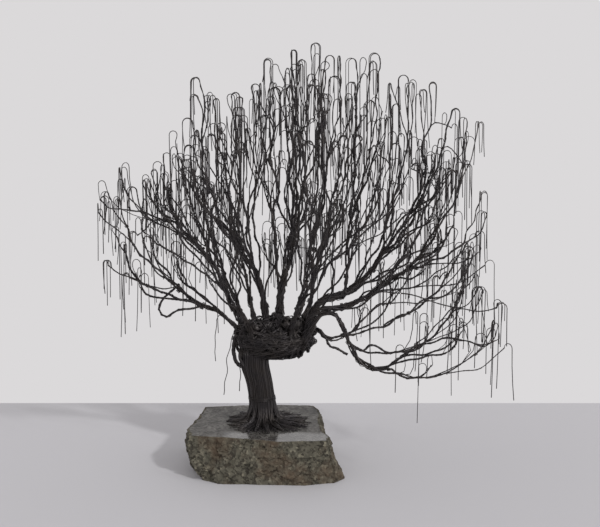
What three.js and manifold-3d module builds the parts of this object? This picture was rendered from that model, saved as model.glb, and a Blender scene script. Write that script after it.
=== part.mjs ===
// Wire tree sculpture: several hundred iron wires twisted into one tree, rooted on a split
// granite block.
// Millimetres, +Z up, +X to the right and +Y to the back as seen from the front.
// The origin is on the underside of the stone, below the foot of the trunk.

import * as THREE from 'three';
import { mergeVertices } from 'three/addons/utils/BufferGeometryUtils.js';
import Module from 'manifold-3d';

const wasm = await Module();
wasm.setup();

// Wire: a bundle is as thick as its wires and the air between them need, PACKING being the share of
// it that is wire. A limb starts with a share of short wires as well, which end along its length.
const WIRE_DIAMETER = 0.75;
const PACKING = 0.62;
const WIRES_PER_TIP = 3;
const SHORT_WIRES = 0.6;

// The gap between neighbouring pieces, and the size below which a ridge or sliver is smoothed away
const CLEARANCE = 0.3;
const SLIVER = 0.1;

// Stone: the corners of its flat top, anticlockwise from the front left, and of its foot below them.
// Its sides stand upright at first and spread to the foot with a power of the share of the height.
const STONE_HEIGHT = 39;
const STONE_TOP = [[-64, -43], [-31, -49], [-10, -55], [14, -62], [38, -62], [58, -59], [60, -47],
  [53, -27], [52, 10], [52, 45], [46, 62], [12, 64], [-24, 62], [-56, 56], [-61, 20], [-67, -20]];
const STONE_FOOT = [[-52, -50], [-38, -60], [-10, -61], [14, -63], [38, -64], [64, -57], [73, -43],
  [71, -22], [66, 10], [58, 48], [50, 64], [14, 66], [-24, 66], [-58, 58], [-64, 22], [-61, -18]];
const STONE_LEVELS = [0, 0.16, 0.55, 1];
const STONE_SPREAD = 1.8;
const STONE_BULGE = 3;
const STONE_ROUGHNESS = 3.4;
const STONE_EDGE_SHARE = 0.4;

// Trunk: the middle and the radius of the bundle, from its foot up into the burl
const TRUNK_FOOT_Z = 52;
const TRUNK = [[0.5, 0, TRUNK_FOOT_Z], [-0.8, 0, 64], [-3, 0, 78], [-7, 0, 92], [-8, 0, 104]];
const TRUNK_RADII = [12, 11.2, 11.2, 12.2, 12.5];
const TRUNK_SIDES = 14;
const STRAND_RIDGE = 0.5;

// Burl: a squashed ball, the axes of the thick turns wound round it with their share of its size,
// and a loose loop on its left
const BURL_CENTRE = new THREE.Vector3(11, 0, 117);
const BURL_HALF = new THREE.Vector3(32, 21, 15.5);
const BURL_SIDES = { round: 22, down: 12 };
const BURL_TURNS = [[0.1, 0.2, 1], [0.5, -0.9, 0.3], [-0.7, -0.6, 0.6], [1, 0.2, -0.3]];
const BURL_TURN_WIDTH = 0.22;
const BURL_TURN_HEIGHT = 0.14;
const BURL_LOOP = { centre: new THREE.Vector3(-17, -3, 108), across: 9.5, deep: 2, up: 15, radius: 2.4 };
const BURL_LOOP_STEPS = 12;
const BURL_LOOP_SIDES = 5;

// Roots: fingers splayed round a flared foot, to the reach named for each side. A finger bends down
// at a distance out and a height above the stone, and tapers from there.
const ROOT_FINGERS = 14;
const ROOT_WIRES = 36;
const ROOT_REACH = { left: 34, right: 44, front: 38, back: 46 };
const ROOT_REACH_SHARES = [0.84, 1.04];
const ROOT_BEND = [[10, 6], [15, 3.5]];
const ROOT_LIES_FROM = 0.66;
const ROOT_TAPER = [1, 1, 0.75, 0.35];
const FLARE = [[0.8, 0, 17], [0.6, 5, 14]];

// Sides of the tubes that stand for bundles
const LIMB_SIDES = 6;
const BRANCH_SIDES = 4;
const TWIG_SIDES = 3;

// Limbs: named bundles, each with the points that it passes on its way out of the burl
const LIMBS = {
  left_low_limb: [[-17, -4, 118], [-27, -6, 133], [-40, -10, 146], [-57, -14, 152], [-77, -20, 169]],
  left_limb: [[-14, 4, 122], [-28, 6, 149], [-39, 8, 175], [-53, 10, 195], [-64, 12, 210]],
  left_inner_limb: [[4, -3, 124], [1, -7, 153], [-4, -9, 176], [-17, -12, 199], [-31, -14, 216]],
  centre_limb: [[16, 2, 120], [16, 2, 150], [19, 3, 172], [26, 4, 192], [28, 6, 218]],
  right_upright_limb: [[32, -3, 120], [44, -5, 157], [46, -7, 179], [43, -8, 203], [52, -10, 229]],
  right_knot_limb: [[33, -8, 118], [52, -10, 154], [72, -8, 157], [76, -6, 181], [76, -4, 211],
    [84, -2, 240]],
  right_high_limb: [[32, 8, 118], [52, 10, 150], [80, 12, 160], [101, 11, 183], [118, 10, 208],
    [136, 9, 236]],
  right_fan_limb: [[34, -12, 116], [50, -20, 148], [76, -22, 152], [104, -26, 170], [127, -31, 186],
    [146, -33, 208]],
  right_low_limb: [[38, -18, 116], [51, -23, 144], [66, -26, 145], [73, -28, 132], [79, -28, 117],
    [89, -30, 102], [104, -31, 95], [116, -33, 104], [141, -40, 121]],
  right_middle_limb: [[38, 2, 110], [50, -2, 128], [58, -4, 118], [78, -2, 122], [106, 2, 128],
    [136, 8, 142]],
  front_left_limb: [[-7, -13, 120], [-20, -29, 152], [-31, -45, 182], [-37, -61, 211]],
  front_right_limb: [[23, -12, 118], [32, -33, 154], [40, -54, 183], [46, -73, 213]],
  back_left_limb: [[-4, 12, 118], [-13, 33, 152], [-20, 54, 180], [-25, 73, 208]],
  back_right_limb: [[26, 12, 118], [39, 33, 152], [51, 54, 180], [60, 73, 208]],
};

// Branches: the limb and the point on it where the branch leaves, its tip, its count of tips, and
// the points that it passes where it doesn't grow straight for its tip
const BRANCHES = [
  ['left_low_limb', 3, [-130, -34, 222], 3, [[-91, -24, 166], [-106, -28, 174], [-119, -31, 195]]],
  ['left_low_limb', 4, [-135, -12, 250], 3, [[-97, -18, 189], [-110, -16, 203], [-123, -14, 224]]],
  ['left_low_limb', 3, [-102, -57, 232], 3],
  ['left_limb', 4, [-127, 20, 258], 3, [[-82, 14, 221], [-104, 18, 229], [-119, 20, 237]]],
  ['left_limb', 2, [-123, 40, 270], 3],
  ['left_limb', 3, [-99, 4, 268], 3],
  ['left_limb', 2, [-68, -8, 290], 3],
  ['left_limb', 1, [-91, 36, 280], 3],
  ['left_inner_limb', 4, [-53, -20, 350], 3],
  ['left_inner_limb', 2, [-40, -44, 334], 3],
  ['left_inner_limb', 3, [-26, -16, 337], 3],
  ['left_inner_limb', 1, [-8, -28, 345], 3],
  ['centre_limb', 4, [26, 10, 374], 4],
  ['centre_limb', 2, [44, 18, 379], 4],
  ['centre_limb', 1, [8, 20, 365], 4],
  ['centre_limb', 3, [34, -18, 362], 4],
  ['right_upright_limb', 4, [69, -14, 369], 4],
  ['right_upright_limb', 2, [56, -30, 358], 3],
  ['right_knot_limb', 5, [83, -8, 366], 3],
  ['right_knot_limb', 3, [104, -4, 370], 3],
  ['right_high_limb', 5, [148, 0, 345], 3],
  ['right_high_limb', 3, [131, 18, 350], 3],
  ['right_high_limb', 5, [142, -14, 296], 3],
  ['right_high_limb', 3, [114, 26, 334], 3],
  ['right_high_limb', 3, [170, 18, 321], 3],
  ['right_fan_limb', 4, [168, -34, 283], 3],
  ['right_fan_limb', 5, [180, -20, 315], 3],
  ['right_fan_limb', 3, [192, -30, 251], 3],
  ['right_fan_limb', 3, [152, -52, 300], 3],
  ['right_fan_limb', 2, [188, -26, 216], 3, [[104, -16, 163], [131, -18, 168], [152, -22, 178]]],
  ['right_low_limb', 8, [207, -46, 139], 2],
  ['right_low_limb', 8, [184, -50, 206], 3],
  ['right_low_limb', 7, [205, -30, 156], 3,
    [[124, -34, 90], [136, -34, 88], [160, -33, 92], [200, -31, 117]]],
  ['right_middle_limb', 5, [181, 12, 200], 3],
  ['right_low_limb', 4, [190, -8, 176], 3,
    [[89, -24, 112], [98, -22, 117], [110, -21, 111], [140, -21, 116]]],
  ['right_middle_limb', 3, [150, 32, 196], 3, [[90, 10, 130], [106, 20, 146], [122, 26, 151]]],
  ['front_left_limb', 3, [-36, -90, 306], 3],
  ['front_left_limb', 2, [-58, -76, 284], 3],
  ['front_left_limb', 1, [-14, -66, 336], 3],
  ['front_right_limb', 3, [30, -102, 332], 3],
  ['front_right_limb', 2, [84, -90, 322], 3],
  ['front_right_limb', 1, [112, -66, 284], 3],
  ['back_left_limb', 3, [-26, 96, 318], 3],
  ['back_left_limb', 2, [-62, 84, 292], 3],
  ['back_left_limb', 1, [-2, 68, 342], 3],
  ['back_right_limb', 3, [48, 102, 338], 3],
  ['back_right_limb', 2, [84, 92, 326], 3],
  ['back_right_limb', 1, [120, 70, 286], 3],
  ['left_inner_limb', 2, [-62, 12, 312], 3],
  ['left_inner_limb', 1, [-26, 18, 322], 3],
  ['centre_limb', 1, [0, -22, 318], 4],
  ['centre_limb', 2, [22, 36, 340], 3],
  ['right_upright_limb', 1, [74, 12, 334], 3],
  ['right_knot_limb', 3, [108, -30, 316], 3],
  ['right_high_limb', 2, [132, 36, 300], 3],
];

// Loops and stubs: a limb, the wires in the bundle, and the points that it passes
const LOOPS = [
  ['left_low_limb', 8,
    [[-53, -13, 151], [-74, -17, 147], [-85, -19, 142], [-91, -20, 149], [-87, -20, 160], [-77, -20, 168]]],
  ['right_middle_limb', 9, [[58, -4, 118], [61, -4, 111], [68, -4, 109], [77, -4, 104]]],
];

// How branches, twigs and hooks grow: the lengths between points, the kicks that bend them, and for
// a twig the share of its branch where it leaves, and how far aside and below the tip it ends
const BRANCH_STEP = 26;
const BRANCH_LEAD = 0.34;
const BRANCH_RISE = 0.38;
const BRANCH_KINK = 4;
const PASSED_KINK = 2.2;
const TWIG_STEP = 30;
const TWIG_START = [0.35, 0.85];
const TWIG_SPREAD = [8, 22];
const TWIG_SHORTER = [4, 50];
const TWIG_KINK = 2;
const GOLDEN_ANGLE = Math.PI * (3 - Math.sqrt(5));
const HOOK_RADIUS = [3.2, 4.8];
const HOOK_DROP = [26, 66];
const HOOK_WIRE_RADIUS = 0.5;
const HOOK_TURNS = [0.25, 0.75];

// Finishes
const GRANITE = new THREE.MeshStandardMaterial({ color: 0x66625a, roughness: 0.85, metalness: 0 });
const IRON = new THREE.MeshStandardMaterial({ color: 0x2c2a29, roughness: 0.55, metalness: 0.9 });

// A stream of repeatable numbers between 0 and 1
function numberStream(seed) {
  let state = Math.imul(seed + 1, 2654435761) >>> 0;
  const next = () => {
    state = (Math.imul(state, 1664525) + 1013904223) >>> 0;
    return state / 4294967296;
  };
  next();
  next();
  return next;
}

// A number between two limits, from a stream
function between(limits, next) {
  return limits[0] + (limits[1] - limits[0]) * next();
}

// The radius of a bundle of so many wires
function bundleRadius(wires) {
  return (WIRE_DIAMETER / 2) * Math.sqrt(wires / PACKING);
}

// The radii along a limb or branch
function radiiOf(bundle) {
  return bundle.wires.map(bundleRadius);
}

// A point moved by up to a distance along each axis
function kicked(point, distance, next) {
  const shift = new THREE.Vector3(next() - 0.5, next() - 0.5, next() - 0.5);
  return point.addScaledVector(shift, 2 * distance);
}

// The direction in which a line of points runs at one of them
function headingAt(points, index) {
  const before = points[Math.max(index - 1, 0)];
  const after = points[Math.min(index + 1, points.length - 1)];
  return after.clone().sub(before).normalize();
}

// A stem from a start to a tip: it leaves along its parent and stands upright at its tip, or it
// passes the points that it is given
function stemPoints(start, heading, tip, step, kink, next, passed = []) {
  const reach = start.distanceTo(tip);
  const outward = tip.clone().sub(start).normalize();
  const leave = heading.clone().add(outward).normalize();
  const curve = passed.length > 0
    ? new THREE.CatmullRomCurve3([start, ...passed, tip], false, 'catmullrom', 0.5)
    : new THREE.CubicBezierCurve3(
      start,
      start.clone().addScaledVector(leave, BRANCH_LEAD * reach),
      tip.clone().addScaledVector(new THREE.Vector3(0, 0, -1), BRANCH_RISE * reach),
      tip,
    );
  const steps = passed.length > 0 ? 2 * passed.length + 1 : Math.max(2, Math.round(reach / step));
  const points = [];
  for (let i = 0; i <= steps; i += 1) {
    const point = curve.getPoint(i / steps);
    points.push(i > 0 && i < steps ? kicked(point, kink, next) : point);
  }
  return points;
}

// A hook: over from the tip in a half circle towards a bearing, and straight down
function hookPoints(tip, next) {
  const bearing = 2 * Math.PI * next();
  const radius = between(HOOK_RADIUS, next);
  const drop = between(HOOK_DROP, next);
  const aside = new THREE.Vector3(Math.cos(bearing), Math.sin(bearing), 0);
  const points = HOOK_TURNS.map((share) => {
    const turn = Math.PI * share;
    const point = tip.clone().addScaledVector(aside, radius * (1 - Math.cos(turn)));
    point.z += radius * Math.sin(turn);
    return point;
  });
  const end = tip.clone().addScaledVector(aside, 2 * radius);
  end.z -= drop;
  return [...points, end];
}

// All the lines of the tree: limbs, their branches, and the twigs and hooks of each branch
function growTree() {
  const limbs = {};
  for (const [name, line] of Object.entries(LIMBS)) {
    const points = line.map((place) => new THREE.Vector3(...place));
    limbs[name] = { name, points, wires: points.map(() => 0), branches: [] };
  }
  BRANCHES.forEach(([limbName, station, place, tips, passed = []], index) => {
    const limb = limbs[limbName];
    const next = numberStream(100 + index);
    const start = limb.points[station];
    const heading = headingAt(limb.points, station);
    const tip = new THREE.Vector3(...place);
    const vias = passed.map((via) => new THREE.Vector3(...via));
    const kink = vias.length > 0 ? PASSED_KINK : BRANCH_KINK;
    const points = stemPoints(start, heading, tip, BRANCH_STEP, kink, next, vias);
    const last = points.length - 1;
    const wires = points.map(() => WIRES_PER_TIP);
    const twigs = [];
    const phase = 2 * Math.PI * next();
    for (let j = 1; j < tips; j += 1) {
      const from = Math.max(1, Math.floor(last * between(TWIG_START, next)));
      const spread = between(TWIG_SPREAD, next);
      const bearing = phase + j * GOLDEN_ANGLE;
      const end = tip.clone();
      end.x += spread * Math.cos(bearing);
      end.y += spread * Math.sin(bearing);
      end.z -= between(TWIG_SHORTER, next);
      const twig = stemPoints(points[from], headingAt(points, from), end, TWIG_STEP, TWIG_KINK, next);
      twigs.push({ points: twig, hook: hookPoints(end, next) });
      for (let i = 0; i <= from; i += 1) {
        wires[i] += WIRES_PER_TIP;
      }
    }
    const hook = hookPoints(tip, next);
    const number = limb.branches.length + 1;
    limb.branches.push({ name: `${limbName}_branch_${number}`, points, wires, twigs, hook });
    for (let i = 0; i <= station; i += 1) {
      limb.wires[i] += tips * WIRES_PER_TIP;
    }
  });
  Object.values(limbs).forEach((limb) => {
    const last = limb.points.length - 1;
    limb.wires = limb.wires.map((wires, i) => wires * (1 + SHORT_WIRES * (1 - i / last) ** 2));
  });
  return Object.values(limbs);
}

// A closed tube through a line of points, with a radius at each and a flat cap at both ends
function tubeGeometry(points, radii, sides) {
  const positions = [];
  const indices = [];
  const across = new THREE.Vector3();
  points.forEach((point, ring) => {
    const heading = headingAt(points, ring);
    if (ring === 0) {
      const axis = Math.abs(heading.z) < 0.9 ? new THREE.Vector3(0, 0, 1) : new THREE.Vector3(1, 0, 0);
      across.crossVectors(heading, axis).normalize();
    } else {
      across.addScaledVector(heading, -across.dot(heading)).normalize();
    }
    const beside = new THREE.Vector3().crossVectors(heading, across);
    for (let side = 0; side < sides; side += 1) {
      const turn = 2 * Math.PI * side / sides;
      const corner = point.clone();
      corner.addScaledVector(across, radii[ring] * Math.cos(turn));
      corner.addScaledVector(beside, radii[ring] * Math.sin(turn));
      positions.push(corner.x, corner.y, corner.z);
    }
  });
  for (let ring = 0; ring + 1 < points.length; ring += 1) {
    for (let side = 0; side < sides; side += 1) {
      const a = ring * sides + side;
      const b = ring * sides + (side + 1) % sides;
      indices.push(a, b, a + sides, b, b + sides, a + sides);
    }
  }
  const top = (points.length - 1) * sides;
  for (let side = 1; side + 1 < sides; side += 1) {
    indices.push(0, side + 1, side);
    indices.push(top, top + side, top + side + 1);
  }
  const geometry = new THREE.BufferGeometry();
  geometry.setAttribute('position', new THREE.Float32BufferAttribute(positions, 3));
  geometry.setIndex(indices);
  return geometry;
}

// A closed geometry as a solid that can be joined and cut
function solidFrom(geometry) {
  geometry.deleteAttribute('normal');
  geometry.deleteAttribute('uv');
  const merged = mergeVertices(geometry, 1e-4);
  return new wasm.Manifold(new wasm.Mesh({
    numProp: 3,
    vertProperties: Float32Array.from(merged.attributes.position.array),
    triVerts: Uint32Array.from(merged.index.array),
  }));
}

// The geometry of a solid: its largest body, without the slivers that joins and cuts leave
function geometryFrom(solid) {
  const bodies = solid.asOriginal().simplify(SLIVER).decompose();
  const body = bodies.reduce((best, other) => (other.volume() > best.volume() ? other : best));
  const { vertProperties, triVerts } = body.getMesh();
  const geometry = new THREE.BufferGeometry();
  geometry.setAttribute('position', new THREE.Float32BufferAttribute(vertProperties, 3));
  geometry.setIndex(Array.from(triVerts));
  return geometry;
}

// The solid of a bundle that follows a line of points, with room around it where it is asked for
function bundleSolid(points, radii, sides, room = 0) {
  return solidFrom(tubeGeometry(points, radii.map((radius) => radius + room), sides));
}

// Stone: a flat top and a flat foot, with rough broken sides that bulge between them
function stoneGeometry() {
  const next = numberStream(7);
  const outline = (corners) => corners.flatMap(([x, y], index) => {
    const [x1, y1] = corners[(index + 1) % corners.length];
    return [new THREE.Vector2(x, y), new THREE.Vector2((x + x1) / 2, (y + y1) / 2)];
  });
  const top = outline(STONE_TOP);
  const foot = outline(STONE_FOOT);
  const count = top.length;
  const positions = [];
  const indices = [];
  STONE_LEVELS.forEach((share, level) => {
    const inside = share > 0 && share < 1;
    top.forEach((corner, i) => {
      const place = corner.clone().lerp(foot[i], share ** STONE_SPREAD);
      const away = place.clone().normalize();
      const bulge = STONE_BULGE * Math.sin(Math.PI * share);
      const rough = STONE_ROUGHNESS * (next() - 0.5) * (inside ? 1 : STONE_EDGE_SHARE);
      place.addScaledVector(away, bulge + rough);
      const lift = inside ? STONE_ROUGHNESS * (next() - 0.5) : 0;
      positions.push(place.x, place.y, STONE_HEIGHT * (1 - share) + lift);
    });
    if (level > 0) {
      for (let i = 0; i < count; i += 1) {
        const a = (level - 1) * count + i;
        const b = (level - 1) * count + (i + 1) % count;
        indices.push(a, a + count, b, b, a + count, b + count);
      }
    }
  });
  const lowest = (STONE_LEVELS.length - 1) * count;
  const topMiddle = positions.length / 3;
  positions.push(0, 0, STONE_HEIGHT, 0, 0, 0);
  for (let i = 0; i < count; i += 1) {
    const j = (i + 1) % count;
    indices.push(topMiddle, i, j, topMiddle + 1, lowest + j, lowest + i);
  }
  const geometry = new THREE.BufferGeometry();
  geometry.setAttribute('position', new THREE.Float32BufferAttribute(positions, 3));
  geometry.setIndex(indices);
  return geometry;
}

// Trunk: a leaning tube whose surface is ridged by the strands laid up its outside, with room
// around it where it is asked for
function trunkSolid(room = 0) {
  const points = TRUNK.map((place) => new THREE.Vector3(...place));
  const geometry = tubeGeometry(points, TRUNK_RADII, TRUNK_SIDES);
  const position = geometry.attributes.position;
  for (let i = 0; i < position.count; i += 1) {
    const centre = points[Math.floor(i / TRUNK_SIDES)];
    const corner = new THREE.Vector3().fromBufferAttribute(position, i);
    const radius = corner.distanceTo(centre);
    const ridge = room + (i % 2 === 0 ? STRAND_RIDGE : -STRAND_RIDGE);
    corner.sub(centre).multiplyScalar((radius + ridge) / radius).add(centre);
    position.setXYZ(i, corner.x, corner.y, corner.z);
  }
  return solidFrom(geometry);
}

// The reach of the roots towards a bearing, from the four named reaches
function rootReach(bearing) {
  const x = Math.cos(bearing);
  const y = Math.sin(bearing);
  const side = x > 0 ? ROOT_REACH.right : ROOT_REACH.left;
  const end = y > 0 ? ROOT_REACH.back : ROOT_REACH.front;
  return Math.sqrt((x * side) ** 2 + (y * end) ** 2);
}

// Roots: tapering fingers that run out of the foot of the trunk and lie down on the stone
function rootsSolid() {
  const next = numberStream(23);
  const waist = bundleRadius(ROOT_WIRES);
  const rest = STONE_HEIGHT + CLEARANCE;
  const foot = new THREE.Vector3(TRUNK[0][0], TRUNK[0][1], TRUNK_FOOT_Z - CLEARANCE);
  const flare = [...FLARE.map(([x, rise]) => new THREE.Vector3(x, 0, rest + rise)), foot];
  const flareRadii = [...FLARE.map(([, , radius]) => radius), TRUNK_RADII[0]];
  const fingers = [bundleSolid(flare, flareRadii, ROOT_FINGERS)];
  const radii = ROOT_TAPER.map((share) => share * waist);
  for (let i = 0; i < ROOT_FINGERS; i += 1) {
    const bearing = 2 * Math.PI * (i + 0.5 * (next() - 0.5)) / ROOT_FINGERS;
    const reach = rootReach(bearing) * between(ROOT_REACH_SHARES, next);
    const aside = new THREE.Vector3(Math.cos(bearing), Math.sin(bearing), 0);
    const line = [...ROOT_BEND, [ROOT_LIES_FROM * reach, radii[2]], [reach, radii[3]]];
    const points = line.map(([out, rise]) => aside.clone().multiplyScalar(out).setZ(rest + rise));
    fingers.push(bundleSolid(points, radii, BRANCH_SIDES));
  }
  return wasm.Manifold.union(fingers);
}

// A closed ring of tube through a loop of points
function ringSolid(points, radius, sides) {
  const count = points.length;
  const positions = [];
  const indices = [];
  const across = new THREE.Vector3();
  const sum = points.reduce((total, point) => total.add(point), new THREE.Vector3());
  const centre = sum.divideScalar(count);
  points.forEach((point, ring) => {
    const after = points[(ring + 1) % count];
    const before = points[(ring + count - 1) % count];
    const heading = after.clone().sub(before).normalize();
    across.copy(point).sub(centre);
    across.addScaledVector(heading, -across.dot(heading)).normalize();
    const beside = new THREE.Vector3().crossVectors(heading, across);
    for (let side = 0; side < sides; side += 1) {
      const turn = 2 * Math.PI * side / sides;
      const corner = point.clone();
      corner.addScaledVector(across, radius * Math.cos(turn));
      corner.addScaledVector(beside, radius * Math.sin(turn));
      positions.push(corner.x, corner.y, corner.z);
    }
  });
  for (let ring = 0; ring < count; ring += 1) {
    for (let side = 0; side < sides; side += 1) {
      const a = ring * sides + side;
      const b = ring * sides + (side + 1) % sides;
      const c = ((ring + 1) % count) * sides + side;
      const d = ((ring + 1) % count) * sides + (side + 1) % sides;
      indices.push(a, b, c, b, d, c);
    }
  }
  const geometry = new THREE.BufferGeometry();
  geometry.setAttribute('position', new THREE.Float32BufferAttribute(positions, 3));
  geometry.setIndex(indices);
  return solidFrom(geometry);
}

// Burl: a squashed ball of wire, raised along the turns wound round it, and a loose loop on its
// left, all with room around it where it is asked for
function burlSolid(room = 0) {
  const ball = new THREE.SphereGeometry(1, BURL_SIDES.round, BURL_SIDES.down);
  const position = ball.attributes.position;
  const point = new THREE.Vector3();
  for (let i = 0; i < position.count; i += 1) {
    point.fromBufferAttribute(position, i);
    const heights = BURL_TURNS.map((axis) => {
      const off = point.dot(new THREE.Vector3(...axis).normalize());
      return Math.exp(-((off / BURL_TURN_WIDTH) ** 2));
    });
    const swell = 1 - BURL_TURN_HEIGHT / 2 + BURL_TURN_HEIGHT * Math.max(...heights);
    point.multiply(BURL_HALF.clone().multiplyScalar(swell).addScalar(room)).add(BURL_CENTRE);
    position.setXYZ(i, point.x, point.y, point.z);
  }
  const { centre, across, deep, up, radius } = BURL_LOOP;
  const loop = [];
  for (let i = 0; i < BURL_LOOP_STEPS; i += 1) {
    const angle = 2 * Math.PI * i / BURL_LOOP_STEPS;
    const offset = new THREE.Vector3(
      -across * Math.sin(angle),
      deep * Math.cos(angle),
      up * Math.cos(angle),
    );
    loop.push(offset.add(centre));
  }
  return solidFrom(ball).add(ringSolid(loop, radius + room, BURL_LOOP_SIDES));
}

// The shortest distance between two straight stretches
function stretchDistance(a, b, c, d) {
  const u = b.clone().sub(a);
  const v = d.clone().sub(c);
  const w = a.clone().sub(c);
  const uu = u.dot(u);
  const uv = u.dot(v);
  const vv = v.dot(v);
  const uw = u.dot(w);
  const vw = v.dot(w);
  const flat = uu * vv - uv * uv;
  let s = flat > 1e-9 ? THREE.MathUtils.clamp((uv * vw - vv * uw) / flat, 0, 1) : 0;
  const t = THREE.MathUtils.clamp((uv * s + vw) / vv, 0, 1);
  s = THREE.MathUtils.clamp((uv * t - uw) / uu, 0, 1);
  return a.clone().addScaledVector(u, s).distanceTo(c.clone().addScaledVector(v, t));
}

// How many points of a line are reached before it comes too near to what already stands
function freePoints(points, radii, least, standing, own) {
  for (let i = least; i < points.length; i += 1) {
    for (const other of standing) {
      const room = Math.max(radii[i - 1], radii[i]) + other.radius + 2 * CLEARANCE;
      const gap = stretchDistance(points[i - 1], points[i], other.from, other.to);
      if (other.family !== own && gap < room) {
        return i;
      }
    }
  }
  return points.length;
}

// Notes the stretches of a line of points as standing
function stand(points, radii, standing, family) {
  for (let i = 0; i + 1 < points.length; i += 1) {
    const radius = Math.max(radii[i], radii[i + 1]);
    standing.push({ from: points[i], to: points[i + 1], radius, family });
  }
}

// The solid of one branch: its stem, and as much of its twigs and hooks as stands free
function branchSolid(branch, standing) {
  const twigRadius = bundleRadius(WIRES_PER_TIP);
  const stem = { points: branch.points, radii: radiiOf(branch), hook: branch.hook };
  const twigs = branch.twigs.map((twig) => ({ ...twig, radii: twig.points.map(() => twigRadius) }));
  const parts = [];
  [stem, ...twigs].forEach(({ points, radii, hook }) => {
    const isStem = points === branch.points;
    const line = [...points, ...hook];
    const sizes = [...radii, ...hook.map(() => HOOK_WIRE_RADIUS)];
    const free = freePoints(line, sizes, isStem ? points.length : 1, standing, branch.name);
    const kept = line.slice(0, free);
    stand(kept, sizes, standing, branch.name);
    if (free > 1) {
      parts.push(bundleSolid(kept, sizes.slice(0, free), isStem ? BRANCH_SIDES : TWIG_SIDES));
    }
  });
  return wasm.Manifold.union(parts);
}

const tree = new THREE.Group();

// Adds a named piece to the sculpture
function addPiece(name, solid, material) {
  const mesh = new THREE.Mesh(geometryFrom(solid), material);
  mesh.name = name;
  tree.add(mesh);
}

// Stone, roots, trunk and burl, each cut clear of the next
const burlRoom = burlSolid(CLEARANCE);
const trunkRoom = trunkSolid(CLEARANCE).translate([0, 0, -CLEARANCE]);
const stone = solidFrom(stoneGeometry());
const stoneRoom = stone.translate([0, 0, CLEARANCE]);
addPiece('granite_base', stone, GRANITE);
addPiece('roots', rootsSolid().subtract(trunkRoom).subtract(stoneRoom), IRON);
addPiece('trunk', trunkSolid().subtract(burlRoom), IRON);
addPiece('burl', burlSolid(), IRON);

// Limbs and branches: each limb is one piece with its first branch and its loops, and each further
// branch is a piece. A piece is cut clear of those before it.
const limbs = growTree();
const standing = [];
limbs.forEach((limb) => {
  stand(limb.points, radiiOf(limb), standing, limb.name);
  limb.branches.forEach((branch) => {
    stand(branch.points, radiiOf(branch), standing, branch.name);
  });
});
const limbRooms = [burlRoom];
limbs.forEach((limb) => {
  const [leader, ...others] = limb.branches;
  const loopSolids = (room) => LOOPS.filter(([owner]) => owner === limb.name).map(([, wires, line]) => {
    const points = line.map((place) => new THREE.Vector3(...place));
    return bundleSolid(points, points.map(() => bundleRadius(wires)), BRANCH_SIDES, room);
  });
  const bundle = bundleSolid(limb.points, radiiOf(limb), LIMB_SIDES);
  const grown = wasm.Manifold.union([bundle, branchSolid(leader, standing), ...loopSolids(0)]);
  addPiece(limb.name, limbRooms.reduce((solid, room) => solid.subtract(room), grown), IRON);
  const limbRoom = bundleSolid(limb.points, radiiOf(limb), LIMB_SIDES, CLEARANCE);
  limbRooms.push(limbRoom);
  const leaderRoom = bundleSolid(leader.points, radiiOf(leader), BRANCH_SIDES, CLEARANCE);
  const rooms = [limbRoom, leaderRoom, ...loopSolids(CLEARANCE)];
  others.forEach((branch) => {
    const branchOwn = branchSolid(branch, standing);
    addPiece(branch.name, rooms.reduce((solid, room) => solid.subtract(room), branchOwn), IRON);
    rooms.push(bundleSolid(branch.points, radiiOf(branch), BRANCH_SIDES, CLEARANCE));
  });
});

export default tree;
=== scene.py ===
"""Wire tree sculpture: iron wires twisted into one bare weeping tree, rooted on a split granite block.

Sizes are in millimetres here and become metres where a mesh is made. The growth of the limbs,
branches, twigs and hooks repeats that of the solids, and each bundle is laid up from its own wires.
"""

import math
from types import SimpleNamespace

import bpy
import numpy as np
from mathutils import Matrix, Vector


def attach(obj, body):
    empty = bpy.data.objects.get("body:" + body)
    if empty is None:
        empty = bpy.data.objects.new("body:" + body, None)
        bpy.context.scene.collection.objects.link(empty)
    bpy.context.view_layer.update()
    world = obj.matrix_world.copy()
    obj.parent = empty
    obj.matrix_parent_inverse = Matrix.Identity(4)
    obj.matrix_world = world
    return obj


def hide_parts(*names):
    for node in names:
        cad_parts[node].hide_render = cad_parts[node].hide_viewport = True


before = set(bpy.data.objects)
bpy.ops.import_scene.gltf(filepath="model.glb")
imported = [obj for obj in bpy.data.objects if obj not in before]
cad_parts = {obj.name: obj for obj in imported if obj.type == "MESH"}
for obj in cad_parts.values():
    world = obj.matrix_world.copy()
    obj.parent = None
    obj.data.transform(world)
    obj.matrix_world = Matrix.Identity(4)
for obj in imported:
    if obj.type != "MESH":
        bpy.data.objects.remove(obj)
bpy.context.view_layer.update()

bl_info = {
    "name": "Wire Tree Sculpture",
    "version": (1, 0, 0),
    "blender": (4, 5, 0),
    "location": "View3D > Sidebar > Wire Tree",
    "description": "Lays up a weeping tree from twisted iron wires on a split granite block",
    "category": "Add Mesh",
}

MM = 0.001
UP = np.array([0.0, 0.0, 1.0])
GOLDEN_ANGLE = math.pi * (3 - math.sqrt(5))

# Wire, as in the solids
PACKING = 0.62
WIRES_PER_TIP = 3
SHORT_WIRES = 0.6

# Stone, as in the solids: the corners of its flat top and of its foot
STONE_HEIGHT = 39
STONE_TOP = [(-64, -43), (-31, -49), (-10, -55), (14, -62), (38, -62), (58, -59), (60, -47),
             (53, -27), (52, 10), (52, 45), (46, 62), (12, 64), (-24, 62), (-56, 56), (-61, 20), (-67, -20)]
STONE_FOOT = [(-52, -50), (-38, -60), (-10, -61), (14, -63), (38, -64), (64, -57), (73, -43),
              (71, -22), (66, 10), (58, 48), (50, 64), (14, 66), (-24, 66), (-58, 58), (-64, 22), (-61, -18)]
STONE_LEVELS = (0, 0.16, 0.55, 1)
STONE_SPREAD = 1.8
STONE_BULGE = 3
STONE_ROUGHNESS = 3.4
STONE_EDGE_SHARE = 0.4

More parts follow.
